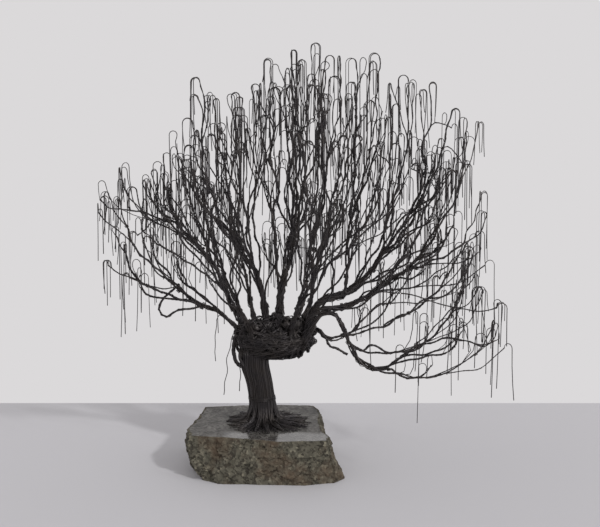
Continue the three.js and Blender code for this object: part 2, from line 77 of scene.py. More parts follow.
# Trunk and burl, as in the solids
TRUNK = [(0.5, 0, 52), (-0.8, 0, 64), (-3, 0, 78), (-7, 0, 92), (-8, 0, 104)]
TRUNK_RADII = (12, 11.2, 11.2, 12.2, 12.5)
BURL_CENTRE = np.array([11.0, 0.0, 117.0])
BURL_HALF = np.array([32.0, 21.0, 15.5])
BURL_TURNS = [(0.1, 0.2, 1), (0.5, -0.9, 0.3), (-0.7, -0.6, 0.6), (1, 0.2, -0.3)]
BURL_TURN_WIDTH = 0.22
BURL_TURN_HEIGHT = 0.14

# Knots of wire heaped on the burl between the feet of the limbs: centre and half sizes
BURL_KNOTS = [
    ((-17, -4, 124), (8, 8, 9)),
    ((-6, -7, 129), (8, 8, 8)),
    ((4, -3, 131), (9, 10, 9)),
    ((13, -2, 131), (8, 8, 12)),
    ((22, -6, 130), (8, 8, 9)),
    ((31, -6, 129), (9, 8, 10)),
    ((40, -3, 127), (9, 8, 8)),
    ((-12, 5, 126), (9, 8, 8)),
]

# A knot's turns of wire: how many, the wires in each, the shares of its size between which they lie
# above or below its surface, and the size of the filling under them
KNOT_TURNS = 12
KNOT_WIRES = 2
KNOT_LAYERS = (-0.12, 0.06)
KNOT_CORE = 0.72

# Turns of wire round the whole burl: how many, the wires in each, how far their axes stray from the
# two main ones, and the shares of the burl's size between which they and the filling lie
BURL_WINDINGS = 34
WINDING_WIRES = 3
WINDING_STRAY = 0.4
WINDING_LAYERS = (-0.05, 0.035)
BURL_CORE = -0.07

# Coils: the count of wires for which a coil is wide enough, and the share of its section within its
# wires
COIL_COUNT = 3.5
COIL_SHARE = 0.9

# The start of a wave, a little over a full turn wide, and the furthest that a turn lies off the middle
PHASES = (0, 6.3)
FURTHEST_OFF = 0.85

# Rings of wire on the burl: centre, the two half widths that span the ring, and its count of wires.
# The first ones are the loose loops on its left, and the last the thick turns round its right end.
BURL_RINGS = [
    ((-17, -3, 108), (-9.5, 0, 0), (0, 2, 15), 14),
    ((-14, -5, 105), (-6.5, 0, 0), (0, 3, 10), 9),
    ((-16, -2, 113), (-7.5, 0, 0), (0, 2.5, 8), 9),
    ((-15, -4, 101), (-5, 0, 0), (0, 3, 7), 9),
    ((-14, -8, 126), (-6, 0, 0), (0, 3, 6), 4),
    ((-2, -9, 132), (-7, 0, 0), (0, 3, 8), 3),
    ((14, 0, 117), (2, -20, 0), (3, 0, 16), 12),
    ((20, 0, 117), (-2, -19, 0), (-2, 0, 16), 12),
    ((26, 0, 116), (2, -18, 0), (3, 0, 15), 14),
    ((31, 0, 115), (-1, -15, 1), (-2, 0, 13.5), 14),
    ((36, 0, 115), (1, -12, -1), (2, 0, 12), 14),
    ((40, 0, 115), (0, -8, 0), (-1, 0, 9), 10),
]

# Ropes that carry the trunk's wires over the burl to the foot of each limb: how many to each limb,
# the wires for which they are wide enough, the wires laid and the length between their samples, how
# far they stray, the share of the burl's size by which they stand out, and the shares of the limb's
# first stretch up to which they climb
BURL_ROPES = 3
BURL_ROPE_WIRES = 13
BURL_ROPE_LAID = 5
BURL_ROPE_SAMPLE = 5
BURL_ROPE_STRAY = 0.2
BURL_ROPE_RISE = (-0.02, 0.1)
BURL_ROPE_CLIMB = (0.3, 0.6, 0.9)

# Flares of wire that spread from the foot of each limb over the burl round it: how many to each
# limb, the wires for which they are wide enough, and how far off they start
BURL_FLARES = 4
BURL_FLARE_WIRES = 9
BURL_FLARE_STRAY = 0.5

# Arches of wire over the top of the burl, from the foot of one limb to that of another: how many, how
# far they rise, how far they bow upwards, and the share of the burl's size at which they start
BURL_ARCHES = 6
BURL_ARCH_RISE = (1, 9)
BURL_ARCH_BOW = 0.15
BURL_ARCH_LAYER = -0.03

# Roots, as in the solids
ROOT_FINGERS = 14
ROOT_WIRES = 36
ROOT_REACH = {"left": 34, "right": 44, "front": 38, "back": 46}
ROOT_REACH_SHARES = (0.84, 1.04)
ROOT_BEND = [(10, 6), (15, 3.5)]
ROOT_LIES_FROM = 0.66
ROOT_TAPER = (1, 1, 0.75, 0.35)

# Wires laid in each root finger, and the share of the finger after which they end
ROOT_LAID = 24
ROOT_ENDS = (0.45, 1)

# Single wires that fill the mat between the root fingers: how many, their share of the roots' reach,
# how far out the points lie that they pass (the last as a share of their reach), how high they pass
# each and end, and how far they turn aside
ROOT_MAT = 420
ROOT_MAT_REACH = (0.42, 1.02)
MAT_OUT = (11, 14.5, 0.6)
MAT_RISE = [(4, 8), (1.5, 5), (0.4, 3.5)]
MAT_END_RISE = 0.4
MAT_TURN = 0.22

# Strands down the trunk: how many lie side by side and how many stand out over them, the heights that
# they pass, how far they turn in a length with the spread of each kind, how far out they lie, how far
# they waver, and the share of a root finger after which they end
TRUNK_STRANDS = 92
RAISED_STRANDS = 34
STRAND_HEIGHTS = np.linspace(107, 50, 18)
STRAND_TURN = 0.35
STRAND_TURN_LENGTH = 55
STRAND_TURN_SPREAD = 0.03
RAISED_TURN_SPREAD = 0.35
STRAND_OUT = 0.15
RAISED_OUT = 0.62
STRAND_WAVER = 0.16
STRAND_ENDS = (0.55, 1)

# The wire wound round the trunk's foot: its turns, where it starts, its climb in each radian and how
# far out it lies
WRAP_TURNS = 3.2
WRAP_FOOT = 61.5
WRAP_CLIMB = 0.16
WRAP_OUT = 1.0

# The trunk's core, under its strands and down into the roots: heights, the radii of the last two, how
# far it lies inside, and its sides
CORE_HEIGHTS = np.array([110, 104, 92, 78, 64, 52, 46, 41.0])
CORE_FOOT_RADII = (12.5, 14)
CORE_INSIDE = 0.7
CORE_SIDES = 36

# Limbs, as in the solids
LIMBS = {
    "left_low_limb": [(-17, -4, 118), (-27, -6, 133), (-40, -10, 146), (-57, -14, 152), (-77, -20, 169)],
    "left_limb": [(-14, 4, 122), (-28, 6, 149), (-39, 8, 175), (-53, 10, 195), (-64, 12, 210)],
    "left_inner_limb": [(4, -3, 124), (1, -7, 153), (-4, -9, 176), (-17, -12, 199), (-31, -14, 216)],
    "centre_limb": [(16, 2, 120), (16, 2, 150), (19, 3, 172), (26, 4, 192), (28, 6, 218)],
    "right_upright_limb": [(32, -3, 120), (44, -5, 157), (46, -7, 179), (43, -8, 203), (52, -10, 229)],
    "right_knot_limb": [(33, -8, 118), (52, -10, 154), (72, -8, 157), (76, -6, 181), (76, -4, 211),
                        (84, -2, 240)],
    "right_high_limb": [(32, 8, 118), (52, 10, 150), (80, 12, 160), (101, 11, 183), (118, 10, 208),
                        (136, 9, 236)],
    "right_fan_limb": [(34, -12, 116), (50, -20, 148), (76, -22, 152), (104, -26, 170), (127, -31, 186),
                       (146, -33, 208)],
    "right_low_limb": [(38, -18, 116), (51, -23, 144), (66, -26, 145), (73, -28, 132), (79, -28, 117),
                       (89, -30, 102), (104, -31, 95), (116, -33, 104), (141, -40, 121)],
    "right_middle_limb": [(38, 2, 110), (50, -2, 128), (58, -4, 118), (78, -2, 122), (106, 2, 128),
                          (136, 8, 142)],
    "front_left_limb": [(-7, -13, 120), (-20, -29, 152), (-31, -45, 182), (-37, -61, 211)],
    "front_right_limb": [(23, -12, 118), (32, -33, 154), (40, -54, 183), (46, -73, 213)],
    "back_left_limb": [(-4, 12, 118), (-13, 33, 152), (-20, 54, 180), (-25, 73, 208)],
    "back_right_limb": [(26, 12, 118), (39, 33, 152), (51, 54, 180), (60, 73, 208)],
}

# Branches, as in the solids: limb, the point on it where the branch leaves, tip, count of tips, and
# the points passed where the branch doesn't grow straight for its tip
BRANCHES = [
    ("left_low_limb", 3, (-130, -34, 222), 3, [(-91, -24, 166), (-106, -28, 174), (-119, -31, 195)]),
    ("left_low_limb", 4, (-135, -12, 250), 3, [(-97, -18, 189), (-110, -16, 203), (-123, -14, 224)]),
    ("left_low_limb", 3, (-102, -57, 232), 3),
    ("left_limb", 4, (-127, 20, 258), 3, [(-82, 14, 221), (-104, 18, 229), (-119, 20, 237)]),
    ("left_limb", 2, (-123, 40, 270), 3),
    ("left_limb", 3, (-99, 4, 268), 3),
    ("left_limb", 2, (-68, -8, 290), 3),
    ("left_limb", 1, (-91, 36, 280), 3),
    ("left_inner_limb", 4, (-53, -20, 350), 3),
    ("left_inner_limb", 2, (-40, -44, 334), 3),
    ("left_inner_limb", 3, (-26, -16, 337), 3),
    ("left_inner_limb", 1, (-8, -28, 345), 3),
    ("centre_limb", 4, (26, 10, 374), 4),
    ("centre_limb", 2, (44, 18, 379), 4),
    ("centre_limb", 1, (8, 20, 365), 4),
    ("centre_limb", 3, (34, -18, 362), 4),
    ("right_upright_limb", 4, (69, -14, 369), 4),
    ("right_upright_limb", 2, (56, -30, 358), 3),
    ("right_knot_limb", 5, (83, -8, 366), 3),
    ("right_knot_limb", 3, (104, -4, 370), 3),
    ("right_high_limb", 5, (148, 0, 345), 3),
    ("right_high_limb", 3, (131, 18, 350), 3),
    ("right_high_limb", 5, (142, -14, 296), 3),
    ("right_high_limb", 3, (114, 26, 334), 3),
    ("right_high_limb", 3, (170, 18, 321), 3),
    ("right_fan_limb", 4, (168, -34, 283), 3),
    ("right_fan_limb", 5, (180, -20, 315), 3),
    ("right_fan_limb", 3, (192, -30, 251), 3),
    ("right_fan_limb", 3, (152, -52, 300), 3),
    ("right_fan_limb", 2, (188, -26, 216), 3, [(104, -16, 163), (131, -18, 168), (152, -22, 178)]),
    ("right_low_limb", 8, (207, -46, 139), 2),
    ("right_low_limb", 8, (184, -50, 206), 3),
    ("right_low_limb", 7, (205, -30, 156), 3,
     [(124, -34, 90), (136, -34, 88), (160, -33, 92), (200, -31, 117)]),
    ("right_middle_limb", 5, (181, 12, 200), 3),
    ("right_low_limb", 4, (190, -8, 176), 3,
     [(89, -24, 112), (98, -22, 117), (110, -21, 111), (140, -21, 116)]),
    ("right_middle_limb", 3, (150, 32, 196), 3, [(90, 10, 130), (106, 20, 146), (122, 26, 151)]),
    ("front_left_limb", 3, (-36, -90, 306), 3),
    ("front_left_limb", 2, (-58, -76, 284), 3),
    ("front_left_limb", 1, (-14, -66, 336), 3),
    ("front_right_limb", 3, (30, -102, 332), 3),
    ("front_right_limb", 2, (84, -90, 322), 3),
    ("front_right_limb", 1, (112, -66, 284), 3),
    ("back_left_limb", 3, (-26, 96, 318), 3),
    ("back_left_limb", 2, (-62, 84, 292), 3),
    ("back_left_limb", 1, (-2, 68, 342), 3),
    ("back_right_limb", 3, (48, 102, 338), 3),
    ("back_right_limb", 2, (84, 92, 326), 3),
    ("back_right_limb", 1, (120, 70, 286), 3),
    ("left_inner_limb", 2, (-62, 12, 312), 3),
    ("left_inner_limb", 1, (-26, 18, 322), 3),
    ("centre_limb", 1, (0, -22, 318), 4),
    ("centre_limb", 2, (22, 36, 340), 3),
    ("right_upright_limb", 1, (74, 12, 334), 3),
    ("right_knot_limb", 3, (108, -30, 316), 3),
    ("right_high_limb", 2, (132, 36, 300), 3),
]

# Loops and stubs, as in the solids: limb, wires and the points passed
LOOPS = [
    ("left_low_limb", 8,
     [(-53, -13, 151), (-74, -17, 147), (-85, -19, 142), (-91, -20, 149), (-87, -20, 160), (-77, -20, 168)]),
    ("right_middle_limb", 9, [(58, -4, 118), (61, -4, 111), (68, -4, 109), (77, -4, 104)]),
]

# Single wires that hang down by themselves beside the trunk, and links from limb to limb
DROPS = [
    ("left_low_limb", [(-36, -9, 143), (-41, -12, 138), (-42, -13, 124), (-42, -13, 100)]),
    ("left_low_limb", [(-24, -6, 128), (-29, -8, 116), (-31, -9, 102), (-35, -10, 68)]),
    ("left_low_limb", [(-18, -7, 112), (-20, -8, 96), (-20, -8, 84), (-21, -8, 71)]),
    ("centre_limb", [(24, 4, 190), (30, 3, 200), (45, -3, 201), (61, -6, 200), (74, -6, 196)]),
    ("right_knot_limb", [(84, -2, 238), (76, -5, 234), (64, -7, 236), (52, -9, 232)]),
]

# How branches, twigs and hooks grow, as in the solids
BRANCH_STEP = 26
BRANCH_LEAD = 0.34
BRANCH_RISE = 0.38
BRANCH_KINK = 4
PASSED_KINK = 2.2
TWIG_STEP = 30
TWIG_START = (0.35, 0.85)
TWIG_SPREAD = (8, 22)
TWIG_SHORTER = (4, 50)
TWIG_KINK = 2
HOOK_RADIUS = (3.2, 4.8)
HOOK_DROP = (26, 66)

# How the wires of a bundle lie: the length between samples along a limb and a branch, the length in
# which each kind of bundle turns once, the share of its middle that stays out of sight, so that those
# wires are laid only from where they come out, the length of the waves in which a bundle wanders, and
# the samples round a hook and down its fall
LIMB_SAMPLE = 5
BRANCH_SAMPLE = 4
LIMB_TURN = 52
BRANCH_TURN = 19
TWIG_TURN = 15
HIDDEN_SHARE = 0.3
WANDER_LENGTH = (16, 52)
HOOK_SAMPLES = 7
FALL_SAMPLES = 3

# Further wires of a twig: the share of the twig or branch over which they leave it, how much longer
# than the rest of it their sprigs are and how long at least, how long they run straight, how far
# their hooks fall, the share of them that end unseen, and the share that stay in it and turn over
# beside the tip's own hook
SPRIG_LEAVES = (0.5, 0.9)
SPRIG_REACH = (-16, 3)
SPRIG_SHORTEST = 8
SPRIG_LEAD = 0.4
SPRIG_DROP = (14, 58)
SPRIG_ENDS = 0.25
SPRIG_STAYS = 0.5

# Wires laid for each tip, a few more than the solids reckon with
WIRES_LAID = 4

# Inner branches: their wires as a share of those that reach a limb's tips, the wires in each, the share
# of the limb from which they leave, their reach and how short it may get, how far they stray from a
# fan round a point in the trunk, their steps and kinks, and the middle and half sizes of the ball
# that holds their tips
INNER_BRANCHES = 0.75
INNER_WIRES = 5
INNER_STRAY = 0.27
FAN_CENTRE = np.array([16.0, 0.0, 70.0])
INNER_FROM = 0.22
INNER_REACH = (40, 125)
INNER_SHORTEST = 20
INNER_STEP = 20
INNER_KINK = 3.2
CROWN_CENTRE = np.array([34.0, 0.0, 140.0])
CROWN_HALF = np.array([168.0, 96.0, 218.0])

# How far each kind of bundle wanders, as a multiple of the lumps, and the turns of the wires wound
# round a branch where it leaves its limb and further up
LIMB_LUMPS = 0.6
BRANCH_LUMPS = 1.7
TWIG_LUMPS = 1.2
INNER_LUMPS = 1.3
FOOT_WRAP = (2, 4)
UPPER_WRAP = (1.5, 3)

# The stone's mesh: columns to each point of the outline, rows down its sides, the shares of the way
# out at which rings lie on its top and foot, the sizes of its facets with the share of the relief that
# each size has, and the size, least height and depth of the chips along its top edge
STONE_COLUMNS = 12
STONE_ROWS = 45
TOP_RINGS = np.array([0.985, 0.965, 0.93, 0.87, 0.78, 0.65, 0.5, 0.34, 0.17])
FOOT_RINGS = np.array([0.9, 0.6, 0.3])
FACETS = [(19, 1), (7, 0.5), (3.2, 0.2)]
CHIP_SIZE = 9
CHIP_FROM = 0.35
CHIP_DEPTH = 1.7

# Camera: where it stands, what it looks at, the width that it sees there, and that of its sensor
CAMERA_PLACE = (34, -1300, 400)
CAMERA_AIM = (34, 0, 187)
CAMERA_WIDTH = 540
SENSOR_WIDTH = 36

# Floor: its half size and where it ends behind; and the way that the sunlight goes
FLOOR_HALF = 2500
FLOOR_BACK = 219
SUN_TOWARDS = (-38, 49, -39)


def linear(hex_colour):
    """An sRGB hex colour as linear red, green, blue and alpha."""
    parts = [int(hex_colour[i:i + 2], 16) / 255 for i in (1, 3, 5)]
    return tuple(c / 12.92 if c <= 0.04045 else ((c + 0.055) / 1.055) ** 2.4 for c in parts) + (1.0,)


def length(name, description, default, low, high):
    """A setting that holds a length, given in millimetres."""
    return bpy.props.FloatProperty(name=name, description=description, default=default * MM, min=low * MM,
                                   max=high * MM, unit="LENGTH", precision=5)


def colour(name, description, hex_colour):
    """A setting that holds a colour, given as sRGB hex."""
    return bpy.props.FloatVectorProperty(name=name, description=description, size=4,
                                         default=linear(hex_colour), min=0, max=1, subtype="COLOR")


class WireSettings(bpy.types.PropertyGroup):
    """Sizes and colours of the wire."""

    diameter: length("Wire diameter", "Thickness of one iron wire", 0.75, 0.2, 2)
    sides: bpy.props.IntProperty(
        name="Wire sides", description="Flat sides round one wire", default=4, min=3, max=12)
    lumps: length("Lumps", "How far a twisted bundle wanders from its line", 0.7, 0, 3)
    sway: length("Sway", "How far a hanging end drifts from upright", 2.4, 0, 10)
    colour: colour("Iron colour", "Colour of the annealed iron", "#4a4748")
    rust: colour("Rust colour", "Colour of the brown bloom on the iron", "#504b48")


class StoneSettings(bpy.types.PropertyGroup):
    """Sizes and colours of the granite."""

    relief: length("Relief", "Depth of the broken facets on the split sides", 1.3, 0, 4)
    grain: length("Grain", "Width of one crystal", 2.0, 0.5, 10)
    dark: colour("Dark crystals", "Colour of the mica and hornblende", "#3f3c35")
    middle: colour("Main colour", "Colour of most crystals", "#5e5b50")
    light: colour("Light crystals", "Colour of the feldspar", "#7b7667")
    rust: colour("Weathered patches", "Colour of the brown weathering", "#5f5143")
    honed_dark: colour("Honed dark crystals", "Darkest colour of the smooth top", "#45423f")
    honed: colour("Honed top", "Main colour of the smooth top", "#5a5855")
    honed_light: colour("Honed light crystals", "Lightest colour of the smooth top", "#6c6a66")


class StageSettings(bpy.types.PropertyGroup):
    """Colours and lights of the stage."""

    backdrop: colour("Backdrop", "Colour behind the sculpture", "#dbd9da")
    floor: colour("Floor", "Colour of the floor", "#c4c3c6")
    key: bpy.props.FloatProperty(
        name="Key light", description="Strength of the sun from the right", default=1.4, min=0, max=10)
    key_width: bpy.props.FloatProperty(
        name="Key width", description="How wide the sun looks, which softens its shadows",
        default=math.radians(4), min=0, max=math.radians(90), subtype="ANGLE")


def number_stream(seed):
    """Repeatable numbers between 0 and 1: each state is a constant times the last, plus another constant."""
    state = (seed + 1) * 2654435761 % 2**32

    def draw():
        nonlocal state
        state = (state * 1664525 + 1013904223) % 2**32
        return state / 2**32

    draw()
    draw()
    return draw


def between(limits, draw):
    """A number between two limits."""
    return limits[0] + (limits[1] - limits[0]) * draw()


def unit(vectors):
    """Vectors divided by their lengths."""
    return vectors / np.maximum(np.linalg.norm(vectors, axis=-1, keepdims=True), 1e-9)


def spline(points, shares):
    """A smooth line through points: between two of them a cubic whose slope at each end is half the
    step from the point before it to the point after it."""
    p = np.asarray(points, float)
    p = np.vstack([2 * p[0] - p[1], p, 2 * p[-1] - p[-2]])
    place = np.asarray(shares) * (len(p) - 3)
    index = np.minimum(place.astype(int), len(p) - 4)
    t = (place - index)[:, None]
    a, b = p[index + 1], p[index + 2]
    slope_a, slope_b = (b - p[index]) / 2, (p[index + 3] - a) / 2
    return (a + slope_a * t + (3 * (b - a) - 2 * slope_a - slope_b) * t**2
            + (2 * (a - b) + slope_a + slope_b) * t**3)


def bundle_radius(wires):
    """The radius of a bundle: half a wire times the root of its count of wires over their packing."""
    half_wire = bpy.context.scene.wire_tree_wire.diameter / MM / 2
    return half_wire * np.sqrt(np.asarray(wires, float) / PACKING)


def heading_at(points, index):
    """The direction from the point before one of a line's points to the point after it."""
    return unit(points[min(index + 1, len(points) - 1)] - points[max(index - 1, 0)])


def stem_points(start, heading, tip, step, kink, draw, passed=()):
    """A stem's points: on a cubic that leaves between its parent's direction and its tip's and stands
    upright at the tip, or on a smooth line through passed points; each but the ends is kicked aside."""
    reach = np.linalg.norm(tip - start)
    leave = unit(heading + unit(tip - start))
    if len(passed) > 0:
        steps = 2 * len(passed) + 1
        line = spline([start, *passed, tip], np.linspace(0, 1, steps + 1))
    else:
        steps = max(2, math.floor(reach / step + 0.5))
        t = np.linspace(0, 1, steps + 1)[:, None]
        lead, rise = start + BRANCH_LEAD * reach * leave, tip - BRANCH_RISE * reach * UP
        line = (1 - t)**3 * start + 3 * (1 - t)**2 * t * lead + 3 * (1 - t) * t**2 * rise + t**3 * tip
    for i in range(1, steps):
        line[i] += 2 * kink * np.array([draw() - 0.5, draw() - 0.5, draw() - 0.5])
    return line


def hook_of(draw):
    """A hook's bearing, radius and drop."""
    return 2 * math.pi * draw(), between(HOOK_RADIUS, draw), between(HOOK_DROP, draw)


def grow_tree():
    """All lines of the tree: limbs with their branches, and the twigs and hooks of each branch."""
    limbs = {
        name: SimpleNamespace(name=name, points=np.array(line, float), wires=np.zeros(len(line)), branches=[])
        for name, line in LIMBS.items()
    }
    for index, (limb_name, station, place, tips, *passed) in enumerate(BRANCHES):
        limb = limbs[limb_name]
        draw = number_stream(100 + index)
        tip = np.array(place, float)
        points = stem_points(limb.points[station], heading_at(limb.points, station), tip, BRANCH_STEP,
                             PASSED_KINK if passed else BRANCH_KINK, draw,
                             np.array(passed[0], float) if passed else ())
        last = len(points) - 1
        wires = np.full(len(points), float(WIRES_PER_TIP))
        twigs = []
        phase = 2 * math.pi * draw()
        for j in range(1, tips):
            start = max(1, int(last * between(TWIG_START, draw)))
            spread = between(TWIG_SPREAD, draw)
            bearing = phase + j * GOLDEN_ANGLE
            end = tip + (spread * math.cos(bearing), spread * math.sin(bearing), -between(TWIG_SHORTER, draw))
            twig = stem_points(points[start], heading_at(points, start), end, TWIG_STEP, TWIG_KINK, draw)
            twigs.append(SimpleNamespace(start=start, points=twig, hook=hook_of(draw)))
            wires[:start + 1] += WIRES_PER_TIP
        limb.branches.append(SimpleNamespace(
            station=station, points=points, wires=wires, twigs=twigs, hook=hook_of(draw), tips=tips))
        limb.wires[:station + 1] += tips * WIRES_PER_TIP
    for limb in limbs.values():
        limb.tip_wires = int(limb.wires[0])
        limb.wires *= 1 + SHORT_WIRES * (1 - np.arange(len(limb.wires)) / (len(limb.wires) - 1))**2
    return limbs


def carried_frames(headings):
    """Two directions across each line of headings (lines, samples, 3): the first is carried from each
    sample to the next with its share along the heading taken out, the second is square to both."""
    across = np.empty_like(headings)
    axis = np.where(np.abs(headings[:, :1, 2:]) < 0.9, UP, np.array([1.0, 0.0, 0.0]))
    across[:, 0] = unit(np.cross(headings[:, :1], axis))[:, 0]
    for sample in range(1, headings.shape[1]):
        before, heading = across[:, sample - 1], headings[:, sample]
        across[:, sample] = unit(before - (before * heading).sum(-1, keepdims=True) * heading)
    return across, np.cross(headings, across)


def twisted(line, radius, turn, rng, lumps):
    """A bundle along a line: the line wanders by three sine waves along each direction across it and
    keeps its ends, its radius swells by a sine wave, and the two directions turn once in a length."""
    arc = np.concatenate([[0], np.cumsum(np.linalg.norm(np.diff(line, axis=0), axis=1))])
    across, beside = (side[0] for side in carried_frames(unit(np.gradient(line, axis=0))[None]))
    hold = np.clip(np.minimum(arc, arc[-1] - arc) / 9, 0, 1)[:, None]
    for direction in (across, beside):
        lengths, phases = rng.uniform(*WANDER_LENGTH, 3), rng.uniform(0, 2 * math.pi, 3)
        waves = np.sin(2 * math.pi * arc[:, None] / lengths + phases).sum(1, keepdims=True) / 2
        line = line + lumps * hold * waves * direction
    angle = (rng.uniform(0, 2 * math.pi) + 2 * math.pi * arc / turn)[:, None]
    swell = 1 + 0.09 * np.sin(2 * math.pi * arc / rng.uniform(9, 17))
    return SimpleNamespace(
        line=line, arc=arc, radius=radius * swell,
        across=np.cos(angle) * across + np.sin(angle) * beside,
        beside=np.cos(angle) * beside - np.sin(angle) * across,
    )


def lay_bundle(points, wires, sample, turn, rng, lumps=None):
    """A bundle on a smooth line through points about a sample length apart, as wide as its wires need;
    its knots are the samples that fall on the points."""
    points = np.asarray(points, float)
    lumps = bpy.context.scene.wire_tree_wire.lumps / MM if lumps is None else lumps
    lengths = np.linalg.norm(np.diff(points, axis=0), axis=1)
    counts = np.maximum(2, np.round(lengths / sample).astype(int))
    spans = [i + np.arange(count) / count for i, count in enumerate(counts)]
    place = np.append(np.concatenate(spans), len(counts))
    radius = bundle_radius(np.interp(place, np.arange(len(points)), wires))
    bundle = twisted(spline(points, place / len(counts)), radius, turn, rng, lumps)
    bundle.knots = np.concatenate([[0], np.cumsum(counts)])
    return bundle


def wire_in(bundle, last, share, angle, size=None):
    """The samples of one wire, or of one strand of a given size, up to one of its bundle's: the line
    plus the bundle's radius, less the strand's, times the root of its share, towards its angle."""
    size = bpy.context.scene.wire_tree_wire.diameter / MM / 2 if size is None else size
    off = np.maximum(bundle.radius[:last] - size, 0)[:, None] * math.sqrt(share)
    return bundle.line[:last] + off * (
        math.cos(angle) * bundle.across[:last] + math.sin(angle) * bundle.beside[:last])


def spread_wires(bundle, count):
    """All wires of a bundle, spread evenly over its section: each lies the golden angle on from the last
    and takes in an equal share more of the section."""
    return [wire_in(bundle, len(bundle.line), (i + 0.5) / count, i * GOLDEN_ANGLE) for i in range(count)]


def coil(line, wires, sample, turn, rng, lumps):
    """A few wires twisted together along a line, evenly round the edge of their bundle."""
    bundle = lay_bundle(line, np.full(len(line), COIL_COUNT), sample, turn, rng, lumps)
    return [wire_in(bundle, len(bundle.line), COIL_SHARE, 2 * math.pi * k / wires) for k in range(wires)]


def joined(parts):
    """One wire's samples through several bundles: the samples beside each joint are left out, and each
    sample but the ends becomes half itself and a quarter of each neighbour."""
    kept = []
    for i, part in enumerate(parts):
        low = 1 if i > 0 and len(part) > 3 else 0
        high = len(part) - 1 if i + 1 < len(parts) and len(part) > 3 else len(part)
        kept.append(part[low:high])
    path = np.vstack(kept)
    path[1:-1] = (path[:-2] + 2 * path[1:-1] + path[2:]) / 4
    return path


def hook_line(start, bearing, radius, drop, drift):
    """A hook: half a circle up and over towards its bearing, then a fall that drifts aside with the
    square of the share fallen."""
    aside = np.array([math.cos(bearing), math.sin(bearing), 0.0])
    turn = np.linspace(0, math.pi, HOOK_SAMPLES + 1)[1:, None]
    arc = start + radius * (1 - np.cos(turn)) * aside + radius * np.sin(turn) * UP
    share = np.linspace(0, 1, FALL_SAMPLES + 1)[1:, None]
    fall = arc[-1] - drop * share * UP + share**2 * np.append(drift, 0)
    return np.vstack([arc, fall])


def tube_faces(first, rings, sides):
    """Faces of a closed tube whose rings of corners follow one another: a quad from each side of a ring
    to the next ring, and a cap at each end."""
    side = np.arange(sides)
    ring = first + sides * np.arange(rings - 1)[:, None]
    here, after = ring + side, ring + (side + 1) % sides
    quads = np.stack([here, after, after + sides, here + sides], -1).reshape(-1, 4)
    caps = np.stack([first + side[::-1], first + (rings - 1) * sides + side])
    return quads, caps


def tubes(paths, radii, sides):
    """Round tubes along paths: at each sample a ring of corners, the sample plus the radius towards
    evenly turned angles between the two carried directions."""
    longest = max(len(path) for path in paths)
    padded = np.stack([np.vstack([path, np.repeat(path[-1:], longest - len(path), 0)]) for path in paths])
    headings = np.empty_like(padded)
    for i, path in enumerate(paths):
        headings[i, :len(path)] = unit(np.gradient(path, axis=0))
        headings[i, len(path):] = headings[i, len(path) - 1]
    across, beside = carried_frames(headings)
    angle = 2 * math.pi * np.arange(sides) / sides
    corners, quads, caps, first = [], [], [], 0
    for i, path in enumerate(paths):
        count = len(path)
        radius = np.broadcast_to(radii[i], count)[:, None, None]
        ring = (np.cos(angle)[None, :, None] * across[i, :count, None]
                + np.sin(angle)[None, :, None] * beside[i, :count, None])
        corners.append((path[:, None] + radius * ring).reshape(-1, 3))
        wall, ends = tube_faces(first, count, sides)
        quads.append(wall)
        caps.append(ends)
        first += count * sides
    return np.vstack(corners), [np.vstack(quads), np.vstack(caps)]


def make_mesh(name, corners, faces):
    """A smooth-shaded object from corners in millimetres and arrays of faces, each array with its own
    count of corners a face."""
    mesh = bpy.data.meshes.new(name)
    mesh.vertices.add(len(corners))
    mesh.vertices.foreach_set("co", (np.asarray(corners) * MM).astype(np.float32).ravel())
    counts = np.concatenate([np.full(len(group), group.shape[1]) for group in faces])
    loops = np.concatenate([group.ravel() for group in faces])
    mesh.loops.add(len(loops))
    mesh.loops.foreach_set("vertex_index", loops.astype(np.int32))
    mesh.polygons.add(len(counts))
    mesh.polygons.foreach_set("loop_start", (np.cumsum(counts) - counts).astype(np.int32))
    mesh.polygons.foreach_set("use_smooth", np.ones(len(counts), bool))
    mesh.update(calc_edges=True)
    if mesh.validate():
        raise RuntimeError(f"{name} has faulty faces")
    piece = bpy.data.objects.new(name, mesh)
    bpy.context.scene.collection.objects.link(piece)
    return piece


def grid_quads(rings, columns):
    """The quads between rings of corners that close round: each joins a corner, the one below it and
    the same two of the next column."""
    row, column = np.meshgrid(np.arange(rings - 1), np.arange(columns), indexing="ij")
    here, after = row * columns + column, row * columns + (column + 1) % columns
    return np.stack([here, here + columns, after + columns, after], -1).reshape(-1, 4)


def joined_meshes(meshes):
    """Several (corners, faces) pairs as one, with each pair's faces moved up by the corners before it."""
    corners, faces, first = [], [], 0
    for own, groups in meshes:
        corners.append(own)
        faces.extend(group + first for group in groups)
        first += len(own)
    return np.vstack(corners), faces


def hand_over(piece, material, nodes):
    """Gives a piece its finish and its body, and hides the nodes of the solids that it stands for."""
    piece.data.materials.append(material)
    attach(piece, "root")
    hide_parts(*nodes)


def add_node(tree, kind, inputs=None, ramp=None, **settings):
    """Adds a node with its settings, its ramp's stops, and its inputs as values or links."""
    node = tree.nodes.new(kind)
    for name, value in settings.items():
        setattr(node, name, value)
    if ramp:
        stops = node.color_ramp.elements
        while len(stops) < len(ramp):
            stops.new(1.0)
        for stop, (position, colour) in zip(stops, ramp):
            stop.position = position
            stop.color = colour
    for socket, value in (inputs or {}).items():
        if isinstance(value, bpy.types.NodeSocket):
            tree.links.new(value, node.inputs[socket])
        else:
            node.inputs[socket].default_value = value
    return node


def new_material(name):
    """An empty node material, its tree and its object coordinates."""
    material = bpy.data.materials.new(name)
    material.use_nodes = True
    tree = material.node_tree
    tree.nodes.clear()
    return material, tree, add_node(tree, "ShaderNodeTexCoord").outputs["Object"]


